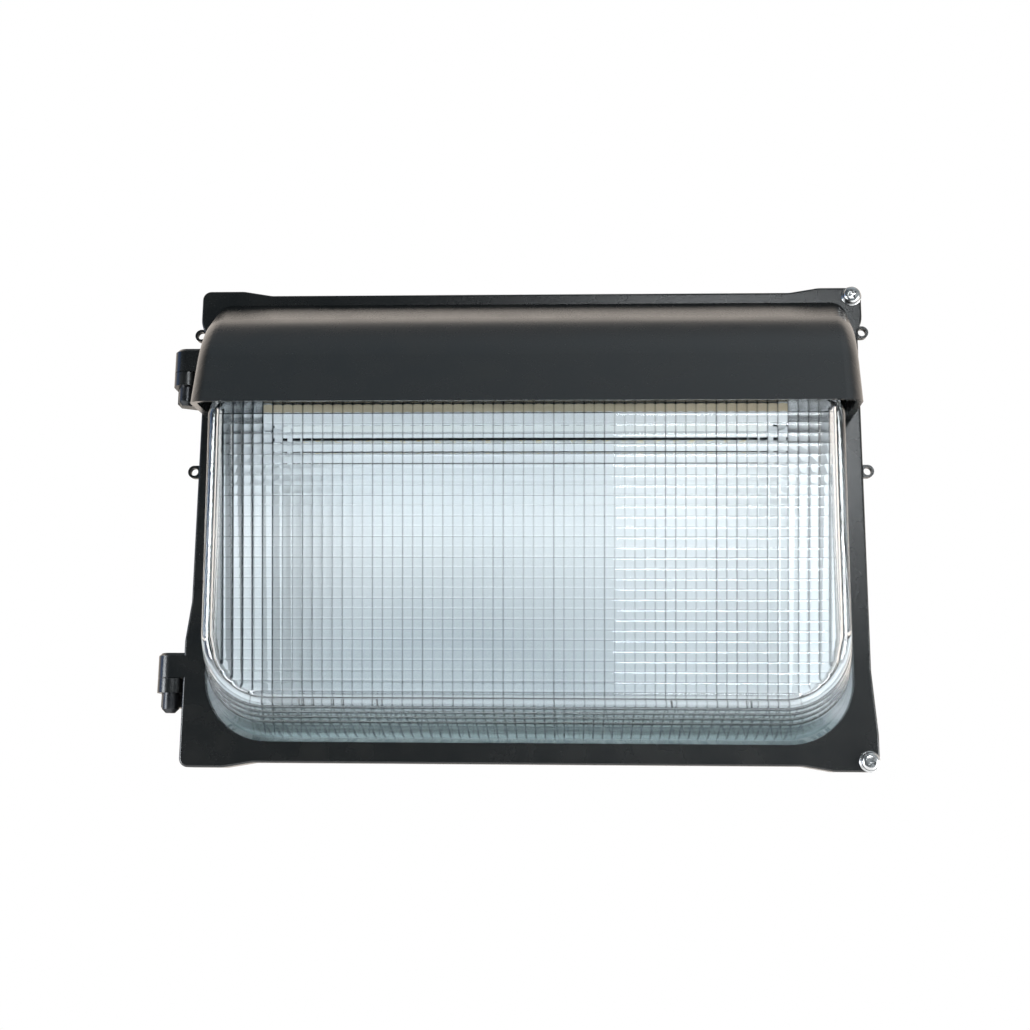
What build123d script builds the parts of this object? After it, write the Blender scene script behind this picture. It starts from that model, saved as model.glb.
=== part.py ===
"""Wall pack light with a prismatic glass lens, a cast hood and a side-hinged door.

Frame, in millimetres: X to the right seen from the front, Z up, and -Y out of the
wall. The origin is on the wall face, at the middle of the four wall screw holes.
"""
from build123d import *
from math import cos, radians, sin, sqrt, tan
import os

# ---- door plate -------------------------------------------------------------
PLATE_W = 346.0            # width over the corner ears
PLATE_H = 248.5            # height over the corner ears
EAR_STEP = 2.5             # how far the edges between the ears lie back
EAR_X = 22.0               # ear length along the top and bottom edges
EAR_RAMP_X = 15.0
EAR_Z = 18.0               # ear length along the side edges
EAR_RAMP_TOP = 6.0
EAR_RAMP_RIGHT = 31.0
HINGE_EAR_Z = 63.0         # longer ear beside the lower hinge
HINGE_EAR_RAMP = 20.0
PLATE_CORNER_R = 4.5
RAMP_R = 12.0
PLATE_WALL = 4.0
DOOR_DEPTH = 14.0          # plate front to door rim
RIM_WIDTH = 5.4
RIM_CORNER_R = 11.5
FRONT_EDGE_R = 1.2

# ---- housing ----------------------------------------------------------------
HOUSING_DEPTH = 90.0
HOUSING_WALL = 3.2
HOUSING_BACK = 4.0
HOUSING_INSET = 1.0        # housing rim inside the door edge
HOUSING_DRAFT = 2.5
HOUSING_CORNER_R = 15.0
HOUSING_BACK_R = 7.0
SEAM = 0.3                 # air between the door rim and the housing rim

# ---- door seal --------------------------------------------------------------
SEAL_W = 3.0
SEAL_D = 3.0
SEAL_LINE_R = 14.0
SEAL_SIDE_AIR = 0.1

# ---- hood -------------------------------------------------------------------
HOOD_SIDE = 7.5            # plate side to the hood
HOOD_HEAD = 8.25           # plate top to the hood's top line
HOOD_DROP = 73.0           # top line to lip
HOOD_LIP_OUT = 75.0        # lip, in front of the plate
HOOD_TOP_SLOPE = 30.0
HOOD_FRONT_SLOPE = 60.0
HOOD_BEND_R = 75.0
HOOD_DRAFT = 6.6
HOOD_EDGE_R = 9.0
HOOD_WALL = 3.2
HOOD_RIM_RISE = 8.0        # degrees, the side rim rises towards the plate

# ---- lens -------------------------------------------------------------------
LENS_SIDE = 11.5           # plate side to the glass
LENS_FOOT = 13.25          # plate bottom to the glass
LENS_DROP = 58.0           # hood top line to the glass
LENS_LOW_R = 32.0
LENS_TOP_R = 10.0
LENS_OUT_BOTTOM = 46.0     # lower edge of the front face, in front of the plate
LENS_TILT = 10.4           # degrees, the front face leans out towards the hood
LENS_LOW_DRAFT = 16.5
LENS_TOP_DRAFT = 10.5
LENS_SIDE_DRAFT = 9.3
LENS_EDGE_R = 6.0
LENS_WALL = 4.5
LENS_FLANGE = 2.8          # glass flange beyond the bowl
LENS_FLANGE_T = 4.0
WINDOW_GAP = 0.4
LENS_SEAL_T = 2.0
ROW_PITCH = 4.8            # level prisms on the face of the glass
ROW_START = 9.9            # first groove above the lower edge of the face
ROW_GROOVES = 26
ROW_GROOVE = (0.5, 0.35)   # width and depth
COLUMN_PITCH = 4.717       # upright prisms inside the glass
COLUMN_GROOVES = 59
COLUMN_GROOVE = (0.9, 0.6)
GROOVE_END = 1.0           # grooves stop this far inside the flat of the face

# ---- lens clips -------------------------------------------------------------
CLIP_T = 1.5
CLIP_W = 12.0
CLIP_OVERLAP = 5.5
CLIP_BOSS_R = 3.6
CLIP_STAND = 5.5           # boss centre outside the glass flange, at the low corners
CLIP_ANGLE = 47.7          # direction from the low corner's centre
CLIP_HIGH_IN = 19.5        # upper clips, in from the side of the glass
CLIP_HIGH_UP = 10.0
M4_R = 2.0
M4_HEAD_R = 3.6
M4_HEAD_H = 2.6
HEAD_CHAMFER = 0.35        # share of a screw head's height
SCREW_CLEARANCE = 0.25
THREAD_AIR = 0.05          # screw shank inside its tapped bore

# ---- reflector --------------------------------------------------------------
REFLECTOR_T = 1.0
REFLECTOR_DEPTH = 24.0
REFLECTOR_R = 22.0
NOTCH_H = 40.0             # opening in its flange for the light carrier
REFLECTOR_TOP = 14.5       # pan mouth below the top of the lens mouth
REFLECTOR_DRAFT = 30.0
REFLECTOR_SIDE = 6.0       # pan mouth inside the lens mouth

# ---- light engine -----------------------------------------------------------
CARRIER_AIR = 11.0         # carrier to the upper clips
CARRIER_T = 3.0
CARRIER_REACH = 50.0       # in front of the plate
CARRIER_SLOPE = 11.0
CARRIER_DROP = 3.0         # under the top wall of the glass
CARRIER_SCREW_X = 90.0
CARRIER_SCREW_UP = 14.0    # above the glass
CARRIER_EDGE = 8.0         # flange above its screws
BOARD_IN = 10.0            # board end in from the carrier end
BOARD_L = 40.0
BOARD_SETBACK = 2.0
BOARD_T = 1.6
PAD_T = 0.5
LED_COLUMNS = 18
LED_ROWS = 2
LED_PITCH_X = 12.4
LED_PITCH_Y = 17.0
LED_SIZE = 5.0
LED_H = 1.2
BOARD_SCREW_IN = 7.0
M3_R = 1.5
M3_HEAD_R = 2.75
M3_HEAD_H = 1.8

# ---- hinges -----------------------------------------------------------------
HINGE_OUT = 9.8            # axis outside the recessed door edge
HINGE_BACK = 7.0           # axis behind the plate front
BARREL_R = 7.0
PIN_R = 4.3
PIN_CLEARANCE = 0.08
PIN_TAIL = 10.0
PIN_POINT = 2.0            # chamfer at the free end
BARREL_H = 7.2
ARM_H = 12.5
ARM_CHAMFER = 1.5
ARM_PIN_DEPTH = 10.5
HINGE_DOWN = 43.95         # upper seat below the plate top
HINGE_UP = 44.25           # lower seat above the plate bottom
HINGE_AIR = 0.3
BRACKET_DEPTH = 8.0
BRACKET_H = 14.0
BRACKET_FOOT = 17.6        # its foot along the housing wall

# ---- accessory lugs ---------------------------------------------------------
LUG_OUT = 2.3              # hole centre outside the recessed door edge
LUG_DOWN = (24.25, 97.95)  # below the plate top
LUG_R = 3.3
LUG_HOLE_R = 2.0
LUG_T = 3.0
LUG_BACK = 1.0

# ---- captive door screws ----------------------------------------------------
SCREW_IN_X = 5.2           # from the outer corner
SCREW_IN_Z = 5.05
SCREW_R = 2.5
SCREW_HEAD_R = 4.5
SCREW_HEAD_H = 3.2
SCREW_HOLD = 8.0           # length held in the housing boss
SCREW_HOLE_AIR = 0.3
WASHER_R = 5.2
WASHER_T = 1.0
RING_R = 3.7
RING_T = 1.0
RING_IN = 0.6              # ring in from the door rim
RING_BORE_R = 4.0
RING_BORE_DEPTH = 10.0
BOSS_R = 5.0
BOSS_L = 30.0
BOSS_DRAFT = 4.0
BOSS_WEB = 5.5             # web from the boss into the housing corner
BOSS_SPARE = 4.0           # bore past the screw tip

# ---- electrical parts -------------------------------------------------------
TRAY_W = 220.0
TRAY_H = 74.0
TRAY_UP = 62.25            # tray middle above the plate bottom
TRAY_T = 1.5
TRAY_LIP = 8.0
PAD_H = 4.0
PAD_R = 5.0
TRAY_HOLE_IN = 8.0
DRIVER_W = 150.0
DRIVER_H = 56.0
DRIVER_D = 32.0
DRIVER_EDGE_R = 2.0
DRIVER_TAB = 12.0
DRIVER_TAB_T = 2.0
GROUND_X = -60.0
GROUND_DOWN = 74.25        # below the plate top
GROUND_BOSS_R = 5.0
GROUND_BOSS_H = 6.0

# ---- wall mounting ----------------------------------------------------------
WALL_HOLES_X = 270.0
WALL_HOLES_Z = 170.0
WALL_HOLE_R = 3.5
BOX_HOLES_X = 88.9
BOX_HOLE_R = 2.5
WIRE_ENTRY_R = 11.0
ENTRY_R = 10.5
ENTRY_BOSS_R = 15.5
ENTRY_BOSS_H = 3.0
ENTRY_DEPTH = 45.0
ENTRY_Z = 20.0
PLUG_AIR = 0.15
PLUG_FLANGE_R = 13.5
PLUG_FLANGE_T = 3.0
PLUG_L = 9.0
PLUG_CHAMFER = 1.0
SLOT_W = 2.0
SLOT_D = 1.5

HAIR = 0.01                # tolerance when points are picked by place

# ---- derived places ---------------------------------------------------------
DOOR_RIM_Y = HOUSING_DEPTH + SEAM
PLATE_Y = DOOR_RIM_Y + DOOR_DEPTH
TOP = PLATE_H / 2
EDGE_X = PLATE_W / 2 - EAR_STEP
EDGE_Z = TOP - EAR_STEP
HINGE_X = -(EDGE_X + HINGE_OUT)
HINGE_Y = -(PLATE_Y - HINGE_BACK)
SCREW_X = PLATE_W / 2 - SCREW_IN_X
SCREW_Z = TOP - SCREW_IN_Z
SCREW_PLACES = {"upper": SCREW_Z, "lower": -SCREW_Z}
HINGE_SEATS = {"upper": TOP - HINGE_DOWN, "lower": HINGE_UP - TOP}
LUG_Z = [TOP - down for down in LUG_DOWN]
TRAY_Z = TRAY_UP - TOP
GROUND_AT = (GROUND_X, TOP - GROUND_DOWN)
HOOD_BASE_W = PLATE_W - 2 * HOOD_SIDE
HOOD_BASE_Z = TOP - HOOD_HEAD
HOOD_LIP_Z = HOOD_BASE_Z - HOOD_DROP
LENS_BASE_W = PLATE_W - 2 * LENS_SIDE
LENS_BASE_BOTTOM = LENS_FOOT - TOP
LENS_BASE_TOP = HOOD_BASE_Z - LENS_DROP
HOUSING_W = 2 * (EDGE_X - HOUSING_INSET)
HOUSING_H = 2 * (EDGE_Z - HOUSING_INSET)
SEAL_OUT = PLATE_WALL + LENS_SEAL_T          # glass flange front, behind the plate
CLAMP_Y = SEAL_OUT + LENS_FLANGE_T           # back of the glass flange
CLIP_SEAT = CLAMP_Y + REFLECTOR_T            # back of the reflector flange
CLIP_REACH = LENS_LOW_R + LENS_FLANGE + CLIP_STAND
CLIP_LOW = (
    LENS_BASE_W / 2 - LENS_LOW_R + CLIP_REACH * cos(radians(CLIP_ANGLE)),
    LENS_BASE_BOTTOM + LENS_LOW_R - CLIP_REACH * sin(radians(CLIP_ANGLE)),
)
CLIP_HIGH = (LENS_BASE_W / 2 - CLIP_HIGH_IN, LENS_BASE_TOP + CLIP_HIGH_UP)
CARRIER_W = 2 * (CLIP_HIGH[0] - CLIP_W / 2 - CARRIER_AIR)
CARRIER_SCREW_Z = LENS_BASE_TOP + CARRIER_SCREW_UP
BOARD_W = CARRIER_W - 2 * BOARD_IN
BOARD_SCREW_X = BOARD_W / 2 - BOARD_SCREW_IN


os.makedirs("parts", exist_ok=True)


def face(out):
    """Plane parallel to the wall, `out` in front of the door plate, facing out."""
    return Plane(origin=(0, -(PLATE_Y + out), 0), x_dir=(1, 0, 0), z_dir=(0, -1, 0))


def wall_plane(depth):
    """Plane parallel to the wall, `depth` in front of it, facing out."""
    return Plane(origin=(0, -depth, 0), x_dir=(1, 0, 0), z_dir=(0, -1, 0))


def rim_plane():
    """Housing rim plane, facing the wall; its local x runs to the left."""
    return Plane(origin=(0, -HOUSING_DEPTH, 0), x_dir=(-1, 0, 0), z_dir=(0, 1, 0))


def keep(piece, name):
    """Name a finished piece and write it."""
    piece.part.label = name
    export_step(piece.part, f"parts/{name}.step")


def housing_draft_x(depth):
    """Half width of the drafted housing at a depth in front of the wall."""
    return HOUSING_W / 2 - (HOUSING_DEPTH - depth) * tan(radians(HOUSING_DRAFT))


def housing_draft_z(depth):
    """Half height of the drafted housing at a depth in front of the wall."""
    return HOUSING_H / 2 - (HOUSING_DEPTH - depth) * tan(radians(HOUSING_DRAFT))


def hood_profile(inset=0.0, lip_drop=0.0):
    """Side profile of the hood as (out, z) points: plate, bend, lip."""
    top = radians(HOOD_TOP_SLOPE)
    front = radians(HOOD_FRONT_SLOPE)
    drop = HOOD_BASE_Z - HOOD_LIP_Z
    bend_out = (drop - HOOD_LIP_OUT * tan(front)) / (tan(top) - tan(front))
    bend_z = HOOD_BASE_Z - bend_out * tan(top)
    spread = 1 + sin(top) * sin(front) + cos(top) * cos(front)
    bend_out -= inset * (sin(top) + sin(front)) / spread
    bend_z -= inset * (cos(top) + cos(front)) / spread
    lip_z = HOOD_LIP_Z - lip_drop
    lip_out = bend_out + (bend_z - lip_z) / tan(front)
    return (0.0, bend_z + bend_out * tan(top)), (bend_out, bend_z), (lip_out, lip_z)


def hood_block(inset, lip_drop, root, edge_r):
    """Solid under the hood skin: the side profile, drafted at both sides."""
    start, bend, lip = hood_profile(inset, lip_drop)
    rise = lip[0] * tan(radians(HOOD_RIM_RISE))
    top_root = start[1] + root * tan(radians(HOOD_TOP_SLOPE))
    outline = [(-root, top_root), bend, lip, (-root, lip[1] + rise)]
    half = HOOD_BASE_W / 2 - inset / cos(radians(HOOD_DRAFT))
    half += root * tan(radians(HOOD_DRAFT))
    with BuildPart() as block:
        with BuildSketch(Plane.YZ):
            with BuildLine():
                Polyline(*[(-(PLATE_Y + out), z) for out, z in outline], close=True)
            make_face()
        extrude(amount=HOOD_BASE_W, both=True)
        bend_edges = block.edges().filter_by(Axis.X).sort_by(
            lambda edge: abs(edge.center().Y + PLATE_Y + bend[0]) + abs(edge.center().Z - bend[1])
        )
        fillet(bend_edges[0], HOOD_BEND_R - inset)
        with BuildSketch(face(-root)):
            Rectangle(2 * half, 4 * PLATE_H)
        extrude(amount=2 * HOOD_LIP_OUT, taper=HOOD_DRAFT, mode=Mode.INTERSECT)
        side_edges = block.edges().filter_by(
            lambda edge: abs(edge.tangent_at(0.5).X) < 0.5 and edge.center().Z > lip[1] + 8
            and edge.center().Y < -(PLATE_Y - root) - 1
        )
        upper = [
            edge for edge in side_edges
            if edge.center().Z > lip[1] + rise + 0.5 or edge.center().Y < -(PLATE_Y + bend[0])
        ]
        fillet(upper, edge_r)
    return block.part


def door_outline():
    """Corner ears joined by edges that lie a little further in."""
    x, z = PLATE_W / 2, TOP
    ear_x = x - EAR_X
    ramp_x = ear_x - EAR_RAMP_X
    return [
        (-x, z), (-ear_x, z), (-ramp_x, EDGE_Z), (ramp_x, EDGE_Z), (ear_x, z), (x, z),
        (x, z - EAR_Z), (EDGE_X, z - EAR_Z - EAR_RAMP_TOP),
        (EDGE_X, -z + EAR_Z + EAR_RAMP_RIGHT), (x, -z + EAR_Z),
        (x, -z), (ear_x, -z), (ramp_x, -EDGE_Z), (-ramp_x, -EDGE_Z), (-ear_x, -z), (-x, -z),
        (-x, -z + HINGE_EAR_Z), (-EDGE_X, -z + HINGE_EAR_Z + HINGE_EAR_RAMP),
        (-EDGE_X, z - EAR_Z - EAR_RAMP_TOP), (-x, z - EAR_Z),
    ]


def lens_mouth(grow=0.0, mode=Mode.ADD):
    """Outline of the glass bowl where it meets the plate: tight above, round below."""
    width = LENS_BASE_W + 2 * grow
    height = LENS_BASE_TOP - LENS_BASE_BOTTOM + 2 * grow
    with BuildSketch(mode=Mode.PRIVATE) as mouth:
        with Locations((0, (LENS_BASE_TOP + LENS_BASE_BOTTOM) / 2)):
            Rectangle(width, height)
        low, high = mouth.vertices().group_by(Axis.Y)
        fillet(low, LENS_LOW_R + grow)
        fillet(high, LENS_TOP_R + grow)
    add(mouth.sketch_local, mode=mode)


def lens_solid(inset, edge_r):
    """Bowl from behind its mouth to the tilted front face, moved in by `inset`."""
    root = CLAMP_Y + inset
    reach = LENS_OUT_BOTTOM + LENS_BASE_W
    low = LENS_BASE_BOTTOM - (root - CLAMP_Y) * tan(radians(LENS_LOW_DRAFT))
    high = LENS_BASE_TOP + (root - CLAMP_Y) * tan(radians(LENS_TOP_DRAFT))
    front_z = LENS_BASE_BOTTOM + (CLAMP_Y + LENS_OUT_BOTTOM) * tan(radians(LENS_LOW_DRAFT))
    tilt, top = tan(radians(LENS_TILT)), tan(radians(LENS_TOP_DRAFT))
    rise = LENS_BASE_TOP - front_z - (CLAMP_Y + LENS_OUT_BOTTOM) * top
    front_top = front_z + rise / (1 + tilt * top)
    out_top = LENS_OUT_BOTTOM + (front_top - front_z) * tilt
    side = [(-root, high), (out_top, front_top), (LENS_OUT_BOTTOM, front_z), (-root, low)]
    widen = tan(radians(LENS_SIDE_DRAFT))
    back_x = LENS_BASE_W / 2 + (root - CLAMP_Y) * widen
    front_x = LENS_BASE_W / 2 - (reach + CLAMP_Y) * widen
    with BuildPart() as bowl:
        with BuildSketch(Plane.YZ):
            with BuildLine():
                Polyline(*[(-(PLATE_Y + out), z) for out, z in side], close=True)
            make_face()
            if inset:
                offset(amount=-inset, kind=Kind.INTERSECTION)
        extrude(amount=LENS_BASE_W, both=True)
        with BuildSketch(Plane.XY):
            with BuildLine():
                Polyline(
                    (-back_x, -(PLATE_Y - root)), (back_x, -(PLATE_Y - root)),
                    (front_x, -(PLATE_Y + reach)), (-front_x, -(PLATE_Y + reach)), close=True,
                )
            make_face()
            if inset:
                offset(amount=-inset, kind=Kind.INTERSECTION)
        extrude(amount=PLATE_H, both=True, mode=Mode.INTERSECT)
        corners = bowl.edges().filter_by(lambda edge: abs(edge.tangent_at(0.5).Y) > 0.9)
        high_corners, low_corners = corners.group_by(Axis.Z)[-1], corners.group_by(Axis.Z)[0]
        fillet(low_corners, LENS_LOW_R - inset)
        fillet(high_corners, LENS_TOP_R - inset)
        fillet(bowl.faces().sort_by(Axis.Y)[0].edges(), edge_r)
    return bowl.part


# ---- housing ----------------------------------------------------------------
def hinge_bracket(seat_z):
    """Barrel and bracket on the housing that carry one door arm."""
    top = seat_z - HINGE_AIR / 2
    with BuildPart() as bracket:
        with BuildSketch(Plane.XY.offset(top)):
            with Locations((HINGE_X, HINGE_Y)):
                Circle(BARREL_R)
            with Locations((HINGE_X, (HINGE_Y - HOUSING_DEPTH) / 2)):
                Rectangle(2 * BARREL_R, -HINGE_Y - HOUSING_DEPTH)
        extrude(amount=-BARREL_H)
        with BuildSketch(Plane.XY.offset(top)):
            with BuildLine():
                Polyline(
                    (HINGE_X - BARREL_R, -HOUSING_DEPTH),
                    (-housing_draft_x(HOUSING_DEPTH) + HOUSING_WALL / 2, -HOUSING_DEPTH),
                    (-housing_draft_x(HOUSING_DEPTH) + HOUSING_WALL / 2,
                     -HOUSING_DEPTH + BRACKET_FOOT),
                    (-housing_draft_x(HOUSING_DEPTH), -HOUSING_DEPTH + BRACKET_FOOT),
                    (HINGE_X - BARREL_R, -HOUSING_DEPTH + BRACKET_DEPTH),
                    close=True,
                )
            make_face()
        extrude(amount=-BRACKET_H)
        with Locations((HINGE_X, HINGE_Y, top)):
            Hole(PIN_R + PIN_CLEARANCE, depth=BARREL_H)
    return bracket.part


with BuildPart() as back_housing:
    with BuildSketch(rim_plane()):
        RectangleRounded(HOUSING_W, HOUSING_H, HOUSING_CORNER_R)
    extrude(amount=HOUSING_DEPTH, taper=HOUSING_DRAFT)
    fillet(back_housing.faces().sort_by(Axis.Y)[-1].edges(), HOUSING_BACK_R)
    with BuildSketch(rim_plane()):
        RectangleRounded(
            HOUSING_W - 2 * HOUSING_WALL, HOUSING_H - 2 * HOUSING_WALL,
            HOUSING_CORNER_R - HOUSING_WALL,
        )
    extrude(amount=HOUSING_DEPTH - HOUSING_BACK, taper=HOUSING_DRAFT, mode=Mode.SUBTRACT)
    for seat in HINGE_SEATS.values():
        add(hinge_bracket(seat))
    # screw bosses at the right corners, each with a blind tapped bore
    for boss_z in SCREW_PLACES.values():
        lean = -45 if boss_z > 0 else 45
        middle = Vector(-SCREW_X, boss_z) + Vector(BOSS_WEB / 2, 0).rotate(Axis.Z, lean)
        with BuildSketch(rim_plane()):
            with Locations(Location(middle, (0, 0, lean))):
                SlotCenterToCenter(BOSS_WEB, 2 * BOSS_R)
        extrude(amount=BOSS_L, taper=BOSS_DRAFT)
        with BuildSketch(rim_plane()):
            with Locations((-SCREW_X, boss_z)):
                Circle(SCREW_R + PIN_CLEARANCE)
        extrude(amount=SCREW_HOLD + BOSS_SPARE, mode=Mode.SUBTRACT)
    # pads for the driver tray and the ground screw
    pad_x = TRAY_W / 2 - TRAY_HOLE_IN
    pad_z = TRAY_H / 2 - TRAY_HOLE_IN
    with BuildSketch(wall_plane(HOUSING_BACK)):
        with Locations((0, TRAY_Z)):
            with GridLocations(2 * pad_x, 2 * pad_z, 2, 2):
                Circle(PAD_R)
    extrude(amount=PAD_H)
    with BuildSketch(wall_plane(HOUSING_BACK)):
        with Locations(GROUND_AT):
            Circle(GROUND_BOSS_R)
    extrude(amount=GROUND_BOSS_H)
    # raised conduit entries left and right
    for side in (-1, 1):
        entry = Plane(
            origin=(side * (housing_draft_x(ENTRY_DEPTH) - HOUSING_WALL / 2), -ENTRY_DEPTH, ENTRY_Z),
            x_dir=(0, 1, 0), z_dir=(side, 0, 0),
        )
        with BuildSketch(entry):
            Circle(ENTRY_BOSS_R)
        extrude(amount=ENTRY_BOSS_H + HOUSING_WALL / 2)
        with BuildSketch(entry):
            Circle(ENTRY_R)
        extrude(amount=3 * HOUSING_WALL, both=True, mode=Mode.SUBTRACT)
    # holes through the back: four wall screws, two box screws, the wires
    with BuildSketch(wall_plane(0)):
        with GridLocations(WALL_HOLES_X, WALL_HOLES_Z, 2, 2):
            Circle(WALL_HOLE_R)
        with GridLocations(BOX_HOLES_X, 0, 2, 1):
            Circle(BOX_HOLE_R)
        Circle(WIRE_ENTRY_R)
    extrude(amount=HOUSING_BACK, mode=Mode.SUBTRACT)
    with BuildSketch(wall_plane(HOUSING_BACK + PAD_H)):
        with Locations((0, TRAY_Z)):
            with GridLocations(2 * pad_x, 2 * pad_z, 2, 2):
                Circle(M4_R)
    extrude(amount=-(PAD_H + HOUSING_BACK / 2), mode=Mode.SUBTRACT)
    with BuildSketch(wall_plane(HOUSING_BACK + GROUND_BOSS_H)):
        with Locations(GROUND_AT):
            Circle(M4_R)
    extrude(amount=-GROUND_BOSS_H, mode=Mode.SUBTRACT)
keep(back_housing, "back_housing")


def entry_plug(plane, seat):
    """Screwed plug with a slot, its flange seated on the conduit boss."""
    with BuildPart() as plug:
        with BuildSketch(plane.offset(seat)):
            Circle(PLUG_FLANGE_R)
        extrude(amount=PLUG_FLANGE_T)
        chamfer(plug.edges().group_by(Axis(plane.origin, plane.z_dir))[-1], PLUG_CHAMFER)
        with BuildSketch(plane.offset(seat)):
            Circle(ENTRY_R - PLUG_AIR)
        extrude(amount=-PLUG_L)
        with BuildSketch(plane.offset(seat + PLUG_FLANGE_T)):
            Rectangle(2 * PLUG_FLANGE_R, SLOT_W)
        extrude(amount=-SLOT_D, mode=Mode.SUBTRACT)
    return plug.part


with BuildPart() as conduit_plugs:
    boss_top = ENTRY_BOSS_H + HOUSING_WALL / 2
    for side in (-1, 1):
        entry = Plane(
            origin=(side * (housing_draft_x(ENTRY_DEPTH) - HOUSING_WALL / 2), -ENTRY_DEPTH, ENTRY_Z),
            x_dir=(0, 1, 0), z_dir=(side, 0, 0),
        )
        add(entry_plug(entry, boss_top))
keep(conduit_plugs, "conduit_plugs")


def pan_screw(plane, shank_r, length, head_r, head_h):
    """Pan-head screw: the plane is its seat, the shank runs to -z of the plane."""
    with BuildPart() as screw:
        with BuildSketch(plane):
            Circle(head_r)
        extrude(amount=head_h)
        rim = screw.edges().group_by(Axis(plane.origin, plane.z_dir))[-1]
        chamfer(rim, HEAD_CHAMFER * head_h)
        with BuildSketch(plane):
            Circle(shank_r)
        extrude(amount=-length)
    return screw.part


def screw_group(plane, places, shank_r, length, head_r, head_h):
    """The same screw at several places of one seat plane."""
    with BuildPart() as group:
        for x, y in places:
            spot = Plane(origin=plane.from_local_coords((x, y, 0)), x_dir=plane.x_dir,
                         z_dir=plane.z_dir)
            add(pan_screw(spot, shank_r, length, head_r, head_h))
    return group


# ---- driver and ground ------------------------------------------------------
TRAY_PLACES = [(sx * pad_x, TRAY_Z + sz * pad_z) for sx in (-1, 1) for sz in (-1, 1)]
DRIVER_PLACES = [(side * (DRIVER_W + DRIVER_TAB) / 2, TRAY_Z) for side in (-1, 1)]
tray_top = HOUSING_BACK + PAD_H + TRAY_T

with BuildPart() as driver_tray:
    with BuildSketch(wall_plane(HOUSING_BACK + PAD_H)):
        with Locations((0, TRAY_Z)):
            Rectangle(TRAY_W, TRAY_H)
        with Locations(*TRAY_PLACES):
            Circle(M4_R + SCREW_CLEARANCE, mode=Mode.SUBTRACT)
        with Locations(*DRIVER_PLACES):
            Circle(M4_R, mode=Mode.SUBTRACT)
    extrude(amount=TRAY_T)
    with BuildSketch(wall_plane(HOUSING_BACK + PAD_H)):
        with Locations((0, TRAY_Z + TRAY_H / 2 - TRAY_T / 2)):
            Rectangle(TRAY_W - 4 * TRAY_HOLE_IN, TRAY_T)
    extrude(amount=TRAY_LIP)
keep(driver_tray, "driver_tray")

tray_screws = screw_group(
    wall_plane(tray_top), TRAY_PLACES, M4_R - THREAD_AIR, TRAY_T + PAD_H, M4_HEAD_R, M4_HEAD_H
)
keep(tray_screws, "tray_screws")

with BuildPart() as driver:
    with BuildSketch(wall_plane(tray_top)):
        with Locations((0, TRAY_Z)):
            Rectangle(DRIVER_W, DRIVER_H)
    extrude(amount=DRIVER_D)
    fillet(driver.faces().sort_by(Axis.Y)[0].edges(), DRIVER_EDGE_R)
    with BuildSketch(wall_plane(tray_top)):
        with Locations(*DRIVER_PLACES):
            Rectangle(DRIVER_TAB, DRIVER_H / 2)
            Circle(M4_R + SCREW_CLEARANCE, mode=Mode.SUBTRACT)
    extrude(amount=DRIVER_TAB_T)
keep(driver, "driver")

driver_screws = screw_group(
    wall_plane(tray_top + DRIVER_TAB_T), DRIVER_PLACES, M4_R - THREAD_AIR,
    DRIVER_TAB_T + TRAY_T + PAD_H / 2, M4_HEAD_R, M4_HEAD_H,
)
keep(driver_screws, "driver_screws")

ground_screw = screw_group(
    wall_plane(HOUSING_BACK + GROUND_BOSS_H), [GROUND_AT], M4_R - THREAD_AIR,
    GROUND_BOSS_H - 1, M4_HEAD_R, M4_HEAD_H,
)
keep(ground_screw, "ground_screw")


# ---- door -------------------------------------------------------------------
def seal_ring(width):
    """Ring along the middle of the door rim, in a sketch."""
    x, z = 2 * EDGE_X - RIM_WIDTH, 2 * EDGE_Z - RIM_WIDTH
    RectangleRounded(x + width, z + width, SEAL_LINE_R + width / 2)
    RectangleRounded(x - width, z - width, SEAL_LINE_R - width / 2, mode=Mode.SUBTRACT)


def hinge_arm(seat_z):
    """Door arm over one housing barrel, with the pin bore open below."""
    bottom = seat_z + HINGE_AIR / 2
    root = -EDGE_X + 1
    with BuildPart() as arm:
        with BuildSketch(Plane.XY.offset(bottom)):
            with Locations((HINGE_X, HINGE_Y)):
                Circle(BARREL_R)
            with Locations(((HINGE_X + root) / 2, HINGE_Y)):
                Rectangle(root - HINGE_X, 2 * BARREL_R)
        extrude(amount=ARM_H)
        chamfer(arm.faces().sort_by(Axis.Z)[-1].edges(), ARM_CHAMFER)
        with BuildSketch(Plane.XY.offset(bottom)):
            with Locations((HINGE_X, HINGE_Y)):
                Circle(PIN_R)
        extrude(amount=ARM_PIN_DEPTH, mode=Mode.SUBTRACT)
    return arm.part


CLIP_PLACES = [(side * x, z) for x, z in (CLIP_LOW, CLIP_HIGH) for side in (-1, 1)]
CARRIER_PLACES = [(x, CARRIER_SCREW_Z) for x in (-CARRIER_SCREW_X, 0, CARRIER_SCREW_X)]
EAR_SCREWS = [(SCREW_X, z) for z in SCREW_PLACES.values()]

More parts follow.
